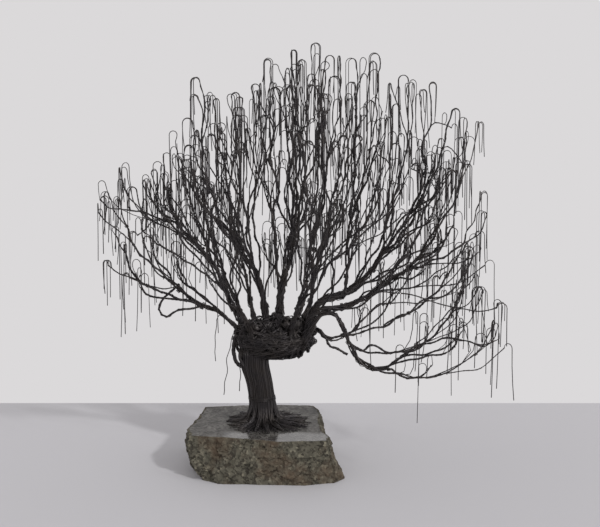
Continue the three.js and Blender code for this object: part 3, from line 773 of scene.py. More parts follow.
def annealed_iron_wire():
    """Black annealed iron wire, drawn and then softened in the fire: a dark grey scale with a satin
    sheen, and a faint brown bloom where hands and damp have been."""
    found = bpy.data.materials.get("annealed_iron_wire")
    if found:
        return found
    wire = bpy.context.scene.wire_tree_wire
    material, tree, place = new_material("annealed_iron_wire")
    bloom_width = 14 * MM
    bloom = add_node(tree, "ShaderNodeTexNoise", {"Vector": place, "Scale": 1 / bloom_width, "Detail": 4.0})
    blend = add_node(tree, "ShaderNodeValToRGB", {"Fac": bloom.outputs["Fac"]},
                     ramp=[(0.42, tuple(wire.colour)), (0.72, tuple(wire.rust))])
    shader = add_node(tree, "ShaderNodeBsdfPrincipled", {
        "Base Color": blend.outputs["Color"], "Metallic": 0.9, "Roughness": 0.42})
    add_node(tree, "ShaderNodeOutputMaterial", {"Surface": shader.outputs["BSDF"]})
    return material


def split_granite():
    """Granite split by wedges, with a honed top: dark mica, olive-grey ground and pale feldspar, brown
    where it has weathered, rough as broken stone; the top is smooth and greyer, dull behind and polished
    in front, where it mirrors what stands on it."""
    stone = bpy.context.scene.wire_tree_stone
    material, tree, place = new_material("split_granite")
    crystals = add_node(tree, "ShaderNodeTexVoronoi", {"Vector": place, "Scale": 1 / stone.grain})
    kind = add_node(tree, "ShaderNodeSeparateColor", {"Color": crystals.outputs["Color"]})
    ground = add_node(tree, "ShaderNodeValToRGB", {"Fac": kind.outputs["Red"]}, ramp=[
        (0.15, tuple(stone.dark)), (0.5, tuple(stone.middle)), (0.84, tuple(stone.middle)),
        (0.98, tuple(stone.light))])
    patch_width = 26 * MM
    patches = add_node(tree, "ShaderNodeTexNoise", {"Vector": place, "Scale": 1 / patch_width, "Detail": 5.0,
                                                    "Roughness": 0.62})
    amount = add_node(tree, "ShaderNodeMapRange", {
        "Value": patches.outputs["Fac"], "From Min": 0.47, "From Max": 0.68, "To Min": 0.0, "To Max": 0.75})
    weathered = add_node(tree, "ShaderNodeMix", {
        "Factor": amount.outputs["Result"], 6: ground.outputs["Color"], 7: tuple(stone.rust)},
        data_type="RGBA")
    shade_width = 9 * MM
    shade = add_node(tree, "ShaderNodeTexNoise", {"Vector": place, "Scale": 1 / shade_width, "Detail": 3.0})
    depth = add_node(tree, "ShaderNodeMapRange", {
        "Value": shade.outputs["Fac"], "From Min": 0.3, "From Max": 0.7, "To Min": 0.62, "To Max": 1.25})
    rough_colour = add_node(tree, "ShaderNodeVectorMath", {
        0: weathered.outputs[2], "Scale": depth.outputs["Result"]}, operation="SCALE")
    honed_ground = add_node(tree, "ShaderNodeValToRGB", {"Fac": kind.outputs["Green"]}, ramp=[
        (0.05, tuple(stone.honed_dark)), (0.5, tuple(stone.honed)), (0.95, tuple(stone.honed_light))])
    honed_shaded = add_node(tree, "ShaderNodeVectorMath", {
        0: honed_ground.outputs["Color"], "Scale": depth.outputs["Result"]}, operation="SCALE")
    honed = add_node(tree, "ShaderNodeAttribute", attribute_name="honed").outputs["Fac"]
    colour = add_node(tree, "ShaderNodeMix", {
        "Factor": honed, 6: rough_colour.outputs["Vector"], 7: honed_shaded.outputs["Vector"]},
        data_type="RGBA")
    axes = add_node(tree, "ShaderNodeSeparateXYZ", {"Vector": place})
    # The polish starts along a ragged line across the top and fades out towards the left end
    polish_starts, polish_full = -19 * MM, -27 * MM
    left_end, left_full = -38 * MM, -26 * MM
    ragged_width, ragged_depth = 30 * MM, 20 * MM
    ragged = add_node(tree, "ShaderNodeTexNoise", {"Vector": place, "Scale": 1 / ragged_width})
    edge = add_node(tree, "ShaderNodeMath", {
        0: ragged.outputs["Fac"], 1: ragged_depth, 2: axes.outputs["Y"]}, operation="MULTIPLY_ADD")
    front = add_node(tree, "ShaderNodeMapRange", {
        "Value": edge.outputs["Value"], "From Min": polish_starts, "From Max": polish_full})
    right = add_node(tree, "ShaderNodeMapRange", {
        "Value": axes.outputs["X"], "From Min": left_end, "From Max": left_full})
    polish = add_node(tree, "ShaderNodeMath", {0: front.outputs["Result"], 1: right.outputs["Result"]},
                      operation="MULTIPLY")
    gloss = add_node(tree, "ShaderNodeMath", {0: honed, 1: polish.outputs["Value"]}, operation="MULTIPLY")
    dull = add_node(tree, "ShaderNodeMapRange", {"Value": honed, "To Min": 0.88, "To Max": 0.5})
    roughness = add_node(tree, "ShaderNodeMapRange", {
        "Value": gloss.outputs["Value"], "To Min": dull.outputs["Result"], "To Max": 0.12})
    shine = add_node(tree, "ShaderNodeMapRange", {
        "Value": gloss.outputs["Value"], "To Min": 0.12, "To Max": 0.5})
    # Grit of the broken sides, as fine as still shows
    grit_width, grit_height = 0.9 * MM, 0.5 * MM
    grit = add_node(tree, "ShaderNodeTexNoise", {"Vector": place, "Scale": 1 / grit_width, "Detail": 2.0})
    grit_depth = add_node(tree, "ShaderNodeMapRange", {"Value": honed, "To Min": 0.5, "To Max": 0.03})
    bump = add_node(tree, "ShaderNodeBump", {
        "Height": grit.outputs["Fac"], "Strength": grit_depth.outputs["Result"], "Distance": grit_height})
    shader = add_node(tree, "ShaderNodeBsdfPrincipled", {
        "Base Color": colour.outputs[2], "Roughness": roughness.outputs["Result"], "IOR": 1.55,
        "Specular IOR Level": shine.outputs["Result"], "Normal": bump.outputs["Normal"]})
    add_node(tree, "ShaderNodeOutputMaterial", {"Surface": shader.outputs["BSDF"]})
    return material


def pale_floor():
    """A floor of matt paper or painted board: plain, pale and without gloss."""
    material, tree, _ = new_material("pale_floor")
    shader = add_node(tree, "ShaderNodeBsdfPrincipled", {
        "Base Color": tuple(bpy.context.scene.wire_tree_stage.floor), "Roughness": 0.9,
        "Specular IOR Level": 0.1})
    add_node(tree, "ShaderNodeOutputMaterial", {"Surface": shader.outputs["BSDF"]})
    return material


def wrap_at(bundle, index, turns, rng):
    """A wire wound round a bundle at one of its samples: a helix as wide as the bundle, half a wire
    more, which climbs a little more than a wire a turn."""
    wire = bpy.context.scene.wire_tree_wire.diameter / MM
    index = min(max(index, 1), len(bundle.line) - 2)
    heading = unit(bundle.line[index + 1] - bundle.line[index - 1])
    turn = np.linspace(0, 2 * math.pi * turns, int(9 * turns))[:, None]
    radius = bundle.radius[index] + 0.45 * wire
    climb = (turn / (2 * math.pi) - turns / 2) * wire * rng.uniform(1.1, 1.9)
    return (bundle.line[index] + climb * heading
            + radius * (np.cos(turn) * bundle.across[index] + np.sin(turn) * bundle.beside[index]))


def sprig_from(path, left, rng):
    """A wire that leaves its bundle where a length of it is left: the path, then a cubic that leaves
    along it and stands upright at a tip about as high as the bundle's, then a hook."""
    sway = bpy.context.scene.wire_tree_wire.sway / MM
    start, heading = path[-1], unit(path[-1] - path[-3])
    reach = max(SPRIG_SHORTEST, left + rng.uniform(*SPRIG_REACH))
    tip = start + reach * unit(0.35 * heading + UP + rng.normal(0, 0.3, 3))
    t = np.linspace(0, 1, 5)[1:, None]
    lead, up = start + SPRIG_LEAD * reach * heading, tip - SPRIG_LEAD * reach * UP
    sprig = (1 - t)**3 * start + 3 * (1 - t)**2 * t * lead + 3 * (1 - t) * t**2 * up + t**3 * tip
    hook = hook_line(tip, rng.uniform(0, 2 * math.pi), rng.uniform(*HOOK_RADIUS),
                     rng.uniform(*SPRIG_DROP), rng.normal(0, sway / 2, 2))
    return np.vstack([path, sprig, hook])


def grown_strand(main, last, share, angle, stem, rng, lumps):
    """A branch's bundle with the strand of the limb that feeds it: the strand's line and the stem's,
    joined and twisted together."""
    size = stem.radius[0]
    fed = wire_in(main, last, share, angle, size)
    fed = np.column_stack([fed, np.full(len(fed), size)])
    whole = joined([fed, np.column_stack([stem.line, stem.radius])])
    bundle = twisted(whole[:, :3], whole[:, 3], BRANCH_TURN, rng, lumps)
    bundle.fed = len(whole) - len(stem.line)
    return bundle


def branch_paths(branch, main, place, rng):
    """The wires of one branch, from the limb's foot to the tips of its twigs: one wire of each tip turns
    over in the tip's own hook, and the others end unseen, turn over beside it or leave as sprigs."""
    settings = bpy.context.scene.wire_tree_wire
    sway, lumps = settings.sway / MM, settings.lumps / MM
    stem = lay_bundle(branch.points, branch.wires, BRANCH_SAMPLE, BRANCH_TURN, rng, 0)
    bundle = grown_strand(main, main.knots[branch.station] + 1, *place, stem, rng, BRANCH_LUMPS * lumps)
    paths = [wrap_at(bundle, bundle.fed, rng.uniform(*FOOT_WRAP), rng)]
    upper = bundle.fed + int(rng.uniform(0.3, 0.7) * len(stem.line))
    paths.append(wrap_at(bundle, upper, rng.uniform(*UPPER_WRAP), rng))
    wires = int(branch.wires[0]) * WIRES_LAID // WIRES_PER_TIP
    slots = iter(rng.permutation(wires))
    for twig, hook in [(None, branch.hook), *((twig, twig.hook) for twig in branch.twigs)]:
        own = twig and lay_bundle(twig.points, np.full(len(twig.points), WIRES_LAID),
                                  BRANCH_SAMPLE, TWIG_TURN, rng, TWIG_LUMPS * lumps)
        for k in range(WIRES_LAID):
            slot = next(slots)
            last = bundle.fed + stem.knots[twig.start] + 1 if twig else len(bundle.line)
            path = wire_in(bundle, last, (slot + 0.5) / wires, slot * GOLDEN_ANGLE)
            if slot < HIDDEN_SHARE * wires:
                path = path[max(0, bundle.fed - 4):]
            if twig:
                angle = 2 * math.pi * k / WIRES_LAID
                path = joined([path, wire_in(own, len(own.line), COIL_SHARE, angle)])
            drift, fate = rng.normal(0, sway / 2, 2), rng.uniform()
            if k == 0:
                paths.append(np.vstack([path, hook_line(path[-1], *hook, drift)]))
            elif fate < SPRIG_ENDS:
                paths.append(path[:len(path) - rng.integers(0, 4)])
            elif fate < SPRIG_ENDS + SPRIG_STAYS:
                beside = (hook[0] + rng.normal(0, 0.5), hook[1] * rng.uniform(0.75, 1.1),
                          hook[2] * rng.uniform(0.3, 1))
                paths.append(np.vstack([path, hook_line(path[-1], *beside, drift)]))
            else:
                tail = len(own.line) if twig else len(stem.line)
                left = int((1 - rng.uniform(*SPRIG_LEAVES)) * tail)
                paths.append(sprig_from(path[:len(path) - left], left * BRANCH_SAMPLE, rng))
    return paths


def inner_paths(main, share, place, hidden, rng):
    """The wires of one inner branch, which leaves the limb after a share of its length, goes out in the
    fan from the trunk until it ends inside the crown's ball, and frays into sprigs; a hidden strand's
    wires are laid only from where they come out."""
    lumps = bpy.context.scene.wire_tree_wire.lumps / MM
    last = min(max(4, int(share * (len(main.line) - 1))), len(main.line) - 1)
    start, heading = main.line[last], unit(main.line[last] - main.line[last - 2])
    direction = unit(0.4 * heading + 0.9 * unit(start - FAN_CENTRE) + rng.normal(0, INNER_STRAY, 3))
    reach = rng.uniform(*INNER_REACH)
    while reach > INNER_SHORTEST and np.linalg.norm(
            (start + reach * direction - CROWN_CENTRE) / CROWN_HALF) > 1:
        reach *= 0.85
    points = stem_points(start, heading, start + reach * direction, INNER_STEP, INNER_KINK, rng.uniform)
    stem = lay_bundle(points, np.full(len(points), INNER_WIRES), BRANCH_SAMPLE, TWIG_TURN, rng, 0)
    bundle = grown_strand(main, last + 1, *place, stem, rng, INNER_LUMPS * lumps)
    paths = []
    for k in range(INNER_WIRES):
        path = wire_in(bundle, len(bundle.line), COIL_SHARE, 2 * math.pi * k / INNER_WIRES)
        if hidden:
            path = path[max(0, bundle.fed - 4):]
        if k == 0 or rng.uniform() > SPRIG_ENDS:
            left = int((1 - rng.uniform(*SPRIG_LEAVES)) * len(stem.line)) if k > 0 else 0
            path = sprig_from(path[:len(path) - left], left * BRANCH_SAMPLE, rng)
        paths.append(path)
    return paths


def limb_paths(limb, rng):
    """The wires of one limb, a rope of strands: a strand for each branch and thinner ones for its inner
    branches. A strand's slot gives its place as a wire's does: the share of the section that lies
    within it, and as many golden angles as its number."""
    lumps = bpy.context.scene.wire_tree_wire.lumps / MM
    main = lay_bundle(limb.points, limb.wires, LIMB_SAMPLE, LIMB_TURN, rng, LIMB_LUMPS * lumps)
    inner_count = int(round(limb.tip_wires * INNER_BRANCHES / INNER_WIRES))
    strands = len(limb.branches) + inner_count
    slots = rng.permutation(strands)
    places = [((slot + 0.5) / strands, slot * GOLDEN_ANGLE) for slot in slots]
    paths = []
    for branch, place in zip(limb.branches, places):
        paths += branch_paths(branch, main, place, rng)
    first = len(limb.branches)
    for number, (slot, place) in enumerate(zip(slots[first:], places[first:])):
        share = INNER_FROM + (1 - INNER_FROM) * (number + rng.uniform()) / max(inner_count, 1)
        paths += inner_paths(main, share, place, slot < HIDDEN_SHARE * strands, rng)
    return paths


def extra_paths(limb, rng):
    """The loops, stubs, single drops and links that belong to a limb."""
    paths = []
    for owner, count, points in LOOPS:
        if owner == limb.name:
            bundle = lay_bundle(points, np.full(len(points), count), BRANCH_SAMPLE, BRANCH_TURN, rng)
            paths += spread_wires(bundle, count)
    for owner, points in DROPS:
        if owner == limb.name:
            bundle = lay_bundle(points, np.ones(len(points)), BRANCH_SAMPLE, BRANCH_TURN, rng)
            paths.append(bundle.line)
    return paths


class LimbsOperator(bpy.types.Operator):
    """Lay up the limbs with their branches, twigs and hooks, one piece for each limb"""

    bl_idname = "wire_tree.limbs"
    bl_label = "Limbs"

    def execute(self, context):
        settings = context.scene.wire_tree_wire
        for number, limb in enumerate(grow_tree().values()):
            rng = np.random.default_rng(500 + number)
            paths = limb_paths(limb, rng) + extra_paths(limb, rng)
            radii = np.full(len(paths), settings.diameter / MM / 2)
            corners, faces = tubes(paths, radii, settings.sides)
            piece = make_mesh(f"{limb.name}_wires", corners, faces)
            nodes = [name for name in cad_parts
                     if name == limb.name or name.startswith(f"{limb.name}_branch_")]
            hand_over(piece, annealed_iron_wire(), nodes)
        return {"FINISHED"}


def trunk_at(z):
    """The trunk's middle and radius at a height, straight between its named points."""
    heights = [point[2] for point in TRUNK]
    middle = np.stack([np.interp(z, heights, [p[0] for p in TRUNK]), np.zeros_like(z), z], -1)
    return middle, np.interp(z, heights, TRUNK_RADII)


def root_reach(bearing):
    """The reach of the roots towards a bearing: an ellipse's, its half sizes named for each side."""
    x, y = math.cos(bearing), math.sin(bearing)
    side = ROOT_REACH["right" if x > 0 else "left"]
    end = ROOT_REACH["back" if y > 0 else "front"]
    return math.hypot(x * side, y * end)


def root_lines():
    """The middle lines of the root fingers, with the bearing of each, as in the solids."""
    draw = number_stream(23)
    waist = float(bundle_radius(ROOT_WIRES))
    rest = STONE_HEIGHT + 0.3
    lines = []
    for i in range(ROOT_FINGERS):
        bearing = 2 * math.pi * (i + 0.5 * (draw() - 0.5)) / ROOT_FINGERS
        x, y = math.cos(bearing), math.sin(bearing)
        reach = root_reach(bearing) * between(ROOT_REACH_SHARES, draw)
        outline = [*ROOT_BEND, (ROOT_LIES_FROM * reach, ROOT_TAPER[2] * waist),
                   (reach, ROOT_TAPER[3] * waist)]
        lines.append((bearing, np.array([(x * out, y * out, rest + rise) for out, rise in outline])))
    return lines


def level_sides(angle):
    """Level directions towards angles."""
    return np.stack([np.cos(angle), np.sin(angle), np.zeros_like(angle)], -1)


def strand_paths(fingers, bundles, rng):
    """The trunk's strands and the root wires that they run on into: each comes down at the trunk's
    radius while its bearing turns evenly with height, wavers by a sine wave of the height, and joins a
    wire of the root finger whose bearing is nearest to its own."""
    half_wire = bpy.context.scene.wire_tree_wire.diameter / MM / 2
    bearings = np.array([bearing for bearing, _ in fingers])
    middle, radius = trunk_at(STRAND_HEIGHTS)
    paths = []
    for i in range(TRUNK_STRANDS + RAISED_STRANDS):
        raised = i >= TRUNK_STRANDS
        angle = 2 * math.pi * (rng.uniform() if raised else i / TRUNK_STRANDS)
        turning = rng.normal(STRAND_TURN, RAISED_TURN_SPREAD if raised else STRAND_TURN_SPREAD)
        bearing = angle + turning * (STRAND_HEIGHTS - STRAND_HEIGHTS[-1]) / STRAND_TURN_LENGTH
        out = radius - half_wire + STRAND_OUT + (RAISED_OUT if raised else 0)
        waves = STRAND_WAVER * np.sin(STRAND_HEIGHTS / rng.uniform(2.5, 7) + rng.uniform(*PHASES))
        down = middle + (out + waves)[:, None] * level_sides(bearing)
        bundle = bundles[int(np.argmin(np.abs(np.angle(np.exp(1j * (bearings - bearing[-1]))))))]
        share = rng.uniform(0.35, 1)
        last = int(rng.uniform(*STRAND_ENDS) * len(bundle.line)) + 1
        part = wire_in(bundle, last, share, rng.uniform(0, 2 * math.pi))
        paths.append(joined([down, part[1:]]))
    return paths


def root_paths(bundles, rng):
    """The wires of the root fingers, spread evenly over each and ending one after another."""
    paths = []
    for bundle in bundles:
        for i in range(ROOT_LAID):
            last = int(rng.uniform(*ROOT_ENDS) * len(bundle.line)) + 1
            paths.append(wire_in(bundle, last, (i + 0.5) / ROOT_LAID, i * GOLDEN_ANGLE))
    return paths


def mat_paths(rng):
    """The single wires of the root mat: each passes four points that go out from the trunk's flare and
    sink to the stone, and turns aside over its outer half."""
    paths = []
    for _ in range(ROOT_MAT):
        bearing = rng.uniform(0, 2 * math.pi)
        reach = root_reach(bearing) * rng.uniform(*ROOT_MAT_REACH)
        out = np.array([*MAT_OUT[:2], MAT_OUT[2] * reach, reach])
        rise = np.array([*(rng.uniform(*limits) for limits in MAT_RISE), MAT_END_RISE])
        turn = bearing + np.array([0, 0, 0.5, 1]) * rng.normal(0, MAT_TURN)
        points = np.stack([out * np.cos(turn), out * np.sin(turn), STONE_HEIGHT + rise], -1)
        paths.append(lay_bundle(points, np.ones(4), 4, 30, rng, 0.25).line)
    return paths


def wrap_path():
    """The wire wound round the trunk's foot: a helix a little outside the trunk's radius."""
    turns = np.linspace(0, 2 * math.pi * WRAP_TURNS, 90)
    middle, radius = trunk_at(WRAP_FOOT + WRAP_CLIMB * turns)
    return middle + (radius + WRAP_OUT)[:, None] * level_sides(turns)


class TrunkOperator(bpy.types.Operator):
    """Lay up the trunk from strands over a core, and splay their ends into the roots"""

    bl_idname = "wire_tree.trunk"
    bl_label = "Trunk and roots"

    def execute(self, context):
        settings = context.scene.wire_tree_wire
        rng = np.random.default_rng(41)
        fingers = root_lines()
        bundles = [lay_bundle(line, np.array(ROOT_TAPER)**2 * ROOT_WIRES, 3.2, 40, rng, 0.35)
                   for _, line in fingers]
        paths = strand_paths(fingers, bundles, rng) + root_paths(bundles, rng) + mat_paths(rng)
        paths.append(wrap_path())
        wires = tubes(paths, np.full(len(paths), settings.diameter / MM / 2), settings.sides)
        core_middle, core_radius = trunk_at(CORE_HEIGHTS)
        core_radius[-2:] = CORE_FOOT_RADII
        core = tubes([core_middle], [core_radius - CORE_INSIDE], CORE_SIDES)
        corners, faces = joined_meshes([wires, core])
        piece = make_mesh("trunk_and_root_wires", corners, faces)
        hand_over(piece, annealed_iron_wire(), ["trunk", "roots"])
        return {"FINISHED"}


def burl_swell(points):
    """How far the burl stands out towards points on the unit ball, as in the solids: raised along the
    plane square to each thick turn's axis by a bell curve of the distance off that plane."""
    axes = unit(np.array(BURL_TURNS, float))
    heights = np.exp(-((points @ axes.T) / BURL_TURN_WIDTH)**2).max(-1, keepdims=True)
    return 1 - BURL_TURN_HEIGHT / 2 + BURL_TURN_HEIGHT * heights


def on_burl(ball, rise):
    """The burl's surface towards points on the unit ball, raised by a share of its size."""
    return BURL_CENTRE + ball * BURL_HALF * (burl_swell(ball) + rise)


def turn_on_ball(axis, spread, wave, count, rng):
    """A turn on the unit ball about an axis: a circle off the middle by a share of its own, which
    wavers twice a turn."""
    theta = np.linspace(0, 2 * math.pi, count)[:, None]
    side = unit(np.cross(axis, UP + 0.1))
    up = np.cross(axis, side)
    off = rng.normal(0, spread) + wave * np.sin(2 * theta + rng.uniform(*PHASES))
    off = np.clip(off, -FURTHEST_OFF, FURTHEST_OFF)
    return off * axis + np.sqrt(1 - off**2) * (np.cos(theta) * side + np.sin(theta) * up)


def winding_paths(rng):
    """The turns of wire round the whole burl, about axes near its last two main ones by turns: each
    lies a little above or below the surface and wavers three times a turn."""
    main_axes = unit(np.array(BURL_TURNS, float))
    theta = np.linspace(0, 2 * math.pi, 46)[:, None]
    paths = []
    for winding in range(BURL_WINDINGS):
        axis = unit(main_axes[2 + winding % 2] + rng.normal(0, WINDING_STRAY, 3))
        ball = turn_on_ball(axis, 0.34, 0.13, len(theta), rng)
        layer = rng.uniform(*WINDING_LAYERS) + 0.02 * np.sin(3 * theta + rng.uniform(*PHASES))
        paths += coil(on_burl(ball, layer)[::3], WINDING_WIRES, 4.2, 19, rng, 0.3)
    return paths


def rope_paths(feet, rng):
    """The ropes from the trunk's top and the flares from round each limb's foot: a line between two
    strayed directions bows aside by half a sine wave, is brought out to the burl's surface, and runs
    on up the limb."""
    below = unit((np.array(TRUNK[-1], float) - BURL_CENTRE) / BURL_HALF)
    routes = [(limb, foot, below, BURL_ROPE_STRAY, BURL_ROPE_WIRES)
              for limb, foot in zip(LIMBS.values(), feet) for _ in range(BURL_ROPES)]
    routes += [(limb, foot, foot, BURL_FLARE_STRAY, BURL_FLARE_WIRES)
               for limb, foot in zip(LIMBS.values(), feet) for _ in range(BURL_FLARES)]
    t = np.linspace(0, 1, 9)[:, None]
    share = np.array(BURL_ROPE_CLIMB)[:, None]
    paths = []
    for limb, foot, start, stray, wires in routes:
        ends = unit(np.stack([start + rng.normal(0, stray, 3), foot + rng.normal(0, 0.15, 3)]))
        bow = unit(np.cross(ends[0], ends[1])) * rng.normal(0, 0.3) * np.sin(math.pi * t)
        over = on_burl(unit(ends[0] * (1 - t) + ends[1] * t + bow), rng.uniform(*BURL_ROPE_RISE))
        first, second = np.array(limb[:2], float)
        up = first * (1 - share) + second * share + rng.normal(0, 1.5, 3) * (1 - share)
        count = np.concatenate([np.full(len(t), wires), wires * (1.1 - share[:, 0])])
        bundle = lay_bundle(np.vstack([over, up]), count, BURL_ROPE_SAMPLE, 30, rng, 0.6)
        paths += [wire_in(bundle, len(bundle.line) - rng.integers(0, 4), COIL_SHARE,
                          2 * math.pi * k / BURL_ROPE_LAID) for k in range(BURL_ROPE_LAID)]
    return paths


def arch_paths(feet, rng):
    """The arches over the burl from foot to foot, which rise by half a sine wave."""
    t = np.linspace(0, 1, 8)[:, None]
    paths = []
    for _ in range(BURL_ARCHES):
        one, other = rng.choice(len(feet), 2, replace=False)
        ends = unit(feet[[one, other]] + rng.normal(0, 0.16, (2, 3)))
        ball = unit(ends[0] * (1 - t) + ends[1] * t + BURL_ARCH_BOW * UP * np.sin(math.pi * t))
        rise = rng.uniform(*BURL_ARCH_RISE) * np.sin(math.pi * t)
        paths += coil(on_burl(ball, BURL_ARCH_LAYER) + rise * UP, 2, 3.4, 17, rng, 0.8)
    return paths


def knot_paths(rng):
    """The turns of wire round each knot: circles on the unit ball about axes of any direction,
    stretched by the knot's half sizes."""
    paths = []
    for centre, half in BURL_KNOTS:
        for _ in range(KNOT_TURNS):
            ball = turn_on_ball(unit(rng.normal(0, 1, 3)), 0.4, 0.15, 16, rng)
            line = np.array(centre) + ball * np.array(half) * (1 + rng.uniform(*KNOT_LAYERS))
            paths += coil(line, KNOT_WIRES, 3.8, 17, rng, 0.4)
    return paths


def ring_paths(rng):
    """The rings of wire: ellipses spanned by their two half widths."""
    angle = np.linspace(0, 2 * math.pi, 13)[:, None]
    paths = []
    for centre, one_half, other_half, count in BURL_RINGS:
        ring = np.array(centre) + np.sin(angle) * np.array(one_half) + np.cos(angle) * np.array(other_half)
        paths += spread_wires(lay_bundle(ring, np.full(13, count * 1.4), 3.2, 34, rng, 0.3), count)
    return paths


def burl_cores():
    """The filling under the wires: the burl's own surface and the knots' ellipsoids, drawn in, each on a
    grid of latitudes and longitudes."""
    lat = np.linspace(0, math.pi, 17)[:, None]
    lon = np.linspace(0, 2 * math.pi, 32, endpoint=False)[None]
    ball = np.stack([np.sin(lat) * np.cos(lon), np.sin(lat) * np.sin(lon), np.cos(lat) + 0 * lon], -1)
    cores = [on_burl(ball, BURL_CORE)]
    cores += [np.array(centre) + ball * np.array(half) * KNOT_CORE for centre, half in BURL_KNOTS]
    return [(core.reshape(-1, 3), [grid_quads(lat.size, lon.size)]) for core in cores]


class BurlOperator(bpy.types.Operator):
    """Wind the burl from turns, ropes, knots and rings of wire round a core"""

    bl_idname = "wire_tree.burl"
    bl_label = "Burl"

    def execute(self, context):
        settings = context.scene.wire_tree_wire
        rng = np.random.default_rng(61)
        feet = unit((np.array([line[0] for line in LIMBS.values()], float) - BURL_CENTRE) / BURL_HALF)
        paths = winding_paths(rng) + rope_paths(feet, rng) + arch_paths(feet, rng)
        paths += knot_paths(rng) + ring_paths(rng)
        wires = tubes(paths, np.full(len(paths), settings.diameter / MM / 2), settings.sides)
        corners, faces = joined_meshes([wires, *burl_cores()])
        piece = make_mesh("burl_wires", corners, faces)
        hand_over(piece, annealed_iron_wire(), ["burl"])
        return {"FINISHED"}


def nearest_facets(points, size, rng):
    """Broken facets: scattered seeds about a size apart, and each point takes the height and the slope
    of its nearest seed, so flat chips meet at sharp steps."""
    low, high = points.min(0) - size, points.max(0) + size
    count = int(np.prod(high - low) / size**3)
    seeds = rng.uniform(low, high, (count, 3))
    heights = rng.uniform(-1, 1, count)
    slopes = rng.normal(0, 0.9, (count, 3)) / size
    nearest = np.concatenate([
        np.argmin((seeds**2).sum(1) - 2 * chunk @ seeds.T, axis=1)
        for chunk in np.array_split(points, max(1, len(points) // 2000))])
    return heights[nearest] + (slopes[nearest] * (points - seeds[nearest])).sum(1)


def stone_rings():
    """The rings of corners of the solid's sides, from its top edge to its foot."""
    draw = number_stream(7)

    def outline(corners):
        corners = np.array(corners, float)
        return np.stack([corners, (corners + np.roll(corners, -1, 0)) / 2], 1).reshape(-1, 2)

    top, foot = outline(STONE_TOP), outline(STONE_FOOT)
    rings = []
    for share in STONE_LEVELS:
        inside = 0 < share < 1
        ring = []
        for place in top + (foot - top) * share**STONE_SPREAD:
            rough = STONE_ROUGHNESS * (draw() - 0.5) * (1 if inside else STONE_EDGE_SHARE)
            lift = STONE_ROUGHNESS * (draw() - 0.5) if inside else 0
            place = place + unit(place) * (STONE_BULGE * math.sin(math.pi * share) + rough)
            ring.append((*place, STONE_HEIGHT * (1 - share) + lift))
        rings.append(ring)
    return np.array(rings)


class StoneOperator(bpy.types.Operator):
    """Make the granite block with its honed top and its split, chipped sides"""

    bl_idname = "wire_tree.stone"
    bl_label = "Granite block"

    def execute(self, context):
        relief = context.scene.wire_tree_stone.relief / MM
        rng = np.random.default_rng(11)
        rings = stone_rings()
        round_count = STONE_COLUMNS * rings.shape[1]
        around = np.arange(round_count) / STONE_COLUMNS
        low = around.astype(int)
        part = (around - low)[:, None]
        rings = rings[:, low] * (1 - part) + rings[:, (low + 1) % rings.shape[1]] * part
        down = np.linspace(0, len(rings) - 1, STONE_ROWS)
        level = np.minimum(down.astype(int), len(rings) - 2)
        share = (down - level)[:, None, None]
        sides = rings[level] * (1 - share) + rings[level + 1] * share
        flat = sides.reshape(-1, 3)
        rise = sum(weight * relief * nearest_facets(flat, size, rng) for size, weight in FACETS)
        depth = 1 - sides[:, :, 2] / STONE_HEIGHT
        hold = np.clip(0.25 + 5 * depth, 0, 1) * np.clip(0.35 + 6 * (1 - depth), 0, 1)
        outward = unit(sides * (1, 1, 0))
        sides = sides + (rise.reshape(depth.shape) * hold)[:, :, None] * outward
        chips = np.clip(nearest_facets(sides[0], CHIP_SIZE, rng) - CHIP_FROM, 0, 1) * CHIP_DEPTH
        sides[0, :, 2] = STONE_HEIGHT - chips
        sides[0] -= 0.8 * chips[:, None] * outward[0]
        sides[-1, :, 2] = 0
        top = sides[0][None] * np.array([1, 1, 0]) * TOP_RINGS[:, None, None]
        top[:, :, 2] = STONE_HEIGHT
        top[0, :, 2] -= 0.35 * chips
        bottom = sides[-1][None] * FOOT_RINGS[:, None, None]
        grid = np.concatenate([top[::-1], sides, bottom])
        quads = grid_quads(len(grid), round_count)
        columns = np.arange(round_count)
        top_centre, foot_centre = grid[..., 0].size, grid[..., 0].size + 1
        lowest = (len(grid) - 1) * round_count
        nexts = (columns + 1) % round_count
        caps = np.concatenate([
            np.stack([np.full(round_count, top_centre), columns, nexts], -1),
            np.stack([np.full(round_count, foot_centre), lowest + nexts, lowest + columns], -1)])
        corners = np.vstack([grid.reshape(-1, 3), [(0, 0, STONE_HEIGHT), (0, 0, 0)]])
        piece = make_mesh("granite_block", corners, [quads, caps])
        honed = np.zeros(len(corners))
        honed[:(len(TOP_RINGS) - 1) * round_count] = 1
        honed[top_centre] = 1
        attribute = piece.data.attributes.new("honed", "FLOAT", "POINT")
        attribute.data.foreach_set("value", honed.astype(np.float32))
        piece.data.polygons.foreach_set("use_smooth", np.zeros(len(piece.data.polygons), bool))
        hand_over(piece, split_granite(), ["granite_base"])
        return {"FINISHED"}


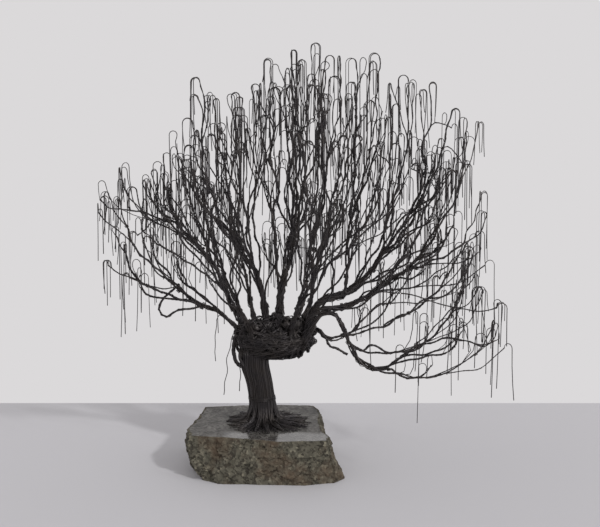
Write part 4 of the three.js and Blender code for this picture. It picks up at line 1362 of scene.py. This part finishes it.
class StageOperator(bpy.types.Operator):
    """Set out the floor, the backdrop colour, the lights and the camera"""

    bl_idname = "wire_tree.stage"
    bl_label = "Stage"

    def execute(self, context):
        scene = context.scene
        stage = scene.wire_tree_stage
        corners = [(-FLOOR_HALF, -FLOOR_HALF, 0), (FLOOR_HALF, -FLOOR_HALF, 0),
                   (FLOOR_HALF, FLOOR_BACK, 0), (-FLOOR_HALF, FLOOR_BACK, 0)]
        floor = make_mesh("floor", np.array(corners, float), [np.array([[0, 1, 2, 3]])])
        floor.data.materials.append(pale_floor())

        world = bpy.data.worlds.new("backdrop")
        scene.world = world
        world.use_nodes = True
        background = world.node_tree.nodes["Background"]
        background.inputs["Color"].default_value = tuple(stage.backdrop)
        background.inputs["Strength"].default_value = 1.0

        sun = bpy.data.lights.new("key_sun", "SUN")
        sun.energy = stage.key
        sun.angle = stage.key_width
        lamp = bpy.data.objects.new("key_sun", sun)
        scene.collection.objects.link(lamp)
        lamp.rotation_mode = "QUATERNION"
        lamp.rotation_quaternion = Vector(SUN_TOWARDS).to_track_quat("-Z", "Y")

        camera_data = bpy.data.cameras.new("camera")
        camera = bpy.data.objects.new("camera", camera_data)
        scene.collection.objects.link(camera)
        place, aim = Vector(CAMERA_PLACE) * MM, Vector(CAMERA_AIM) * MM
        camera.location = place
        camera.rotation_mode = "QUATERNION"
        camera.rotation_quaternion = (aim - place).to_track_quat("-Z", "Y")
        camera_data.sensor_width = SENSOR_WIDTH
        camera_data.lens = SENSOR_WIDTH * (aim - place).length / (CAMERA_WIDTH * MM)
        camera_data.clip_start, camera_data.clip_end = 0.05, 20
        scene.camera = camera
        scene.view_settings.view_transform = "Standard"
        return {"FINISHED"}


OPERATORS = (StoneOperator, TrunkOperator, BurlOperator, LimbsOperator, StageOperator)


class WireTreePanel(bpy.types.Panel):
    """Lists the pieces of the sculpture and their settings."""

    bl_idname = "VIEW3D_PT_wire_tree"
    bl_label = "Wire Tree Sculpture"
    bl_space_type = "VIEW_3D"
    bl_region_type = "UI"
    bl_category = "Wire Tree"

    def draw(self, context):
        for operator in OPERATORS:
            self.layout.operator(operator.bl_idname)
        scene = context.scene
        for group in (scene.wire_tree_wire, scene.wire_tree_stone, scene.wire_tree_stage):
            box = self.layout.box()
            for name in group.__annotations__:
                box.prop(group, name)


CLASSES = (WireSettings, StoneSettings, StageSettings, *OPERATORS, WireTreePanel)


def register():
    """Registers the classes and the settings on the scene."""
    for item in CLASSES:
        bpy.utils.register_class(item)
    bpy.types.Scene.wire_tree_wire = bpy.props.PointerProperty(type=WireSettings)
    bpy.types.Scene.wire_tree_stone = bpy.props.PointerProperty(type=StoneSettings)
    bpy.types.Scene.wire_tree_stage = bpy.props.PointerProperty(type=StageSettings)


def unregister():
    """Takes the settings and the classes away again."""
    for name in ("wire_tree_stage", "wire_tree_stone", "wire_tree_wire"):
        delattr(bpy.types.Scene, name)
    for item in reversed(CLASSES):
        bpy.utils.unregister_class(item)


def main():
    """Makes every piece and the stage."""
    register()
    bpy.ops.wire_tree.stone()
    bpy.ops.wire_tree.trunk()
    bpy.ops.wire_tree.burl()
    bpy.ops.wire_tree.limbs()
    bpy.ops.wire_tree.stage()
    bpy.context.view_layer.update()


if __name__ == "__main__":
    main()
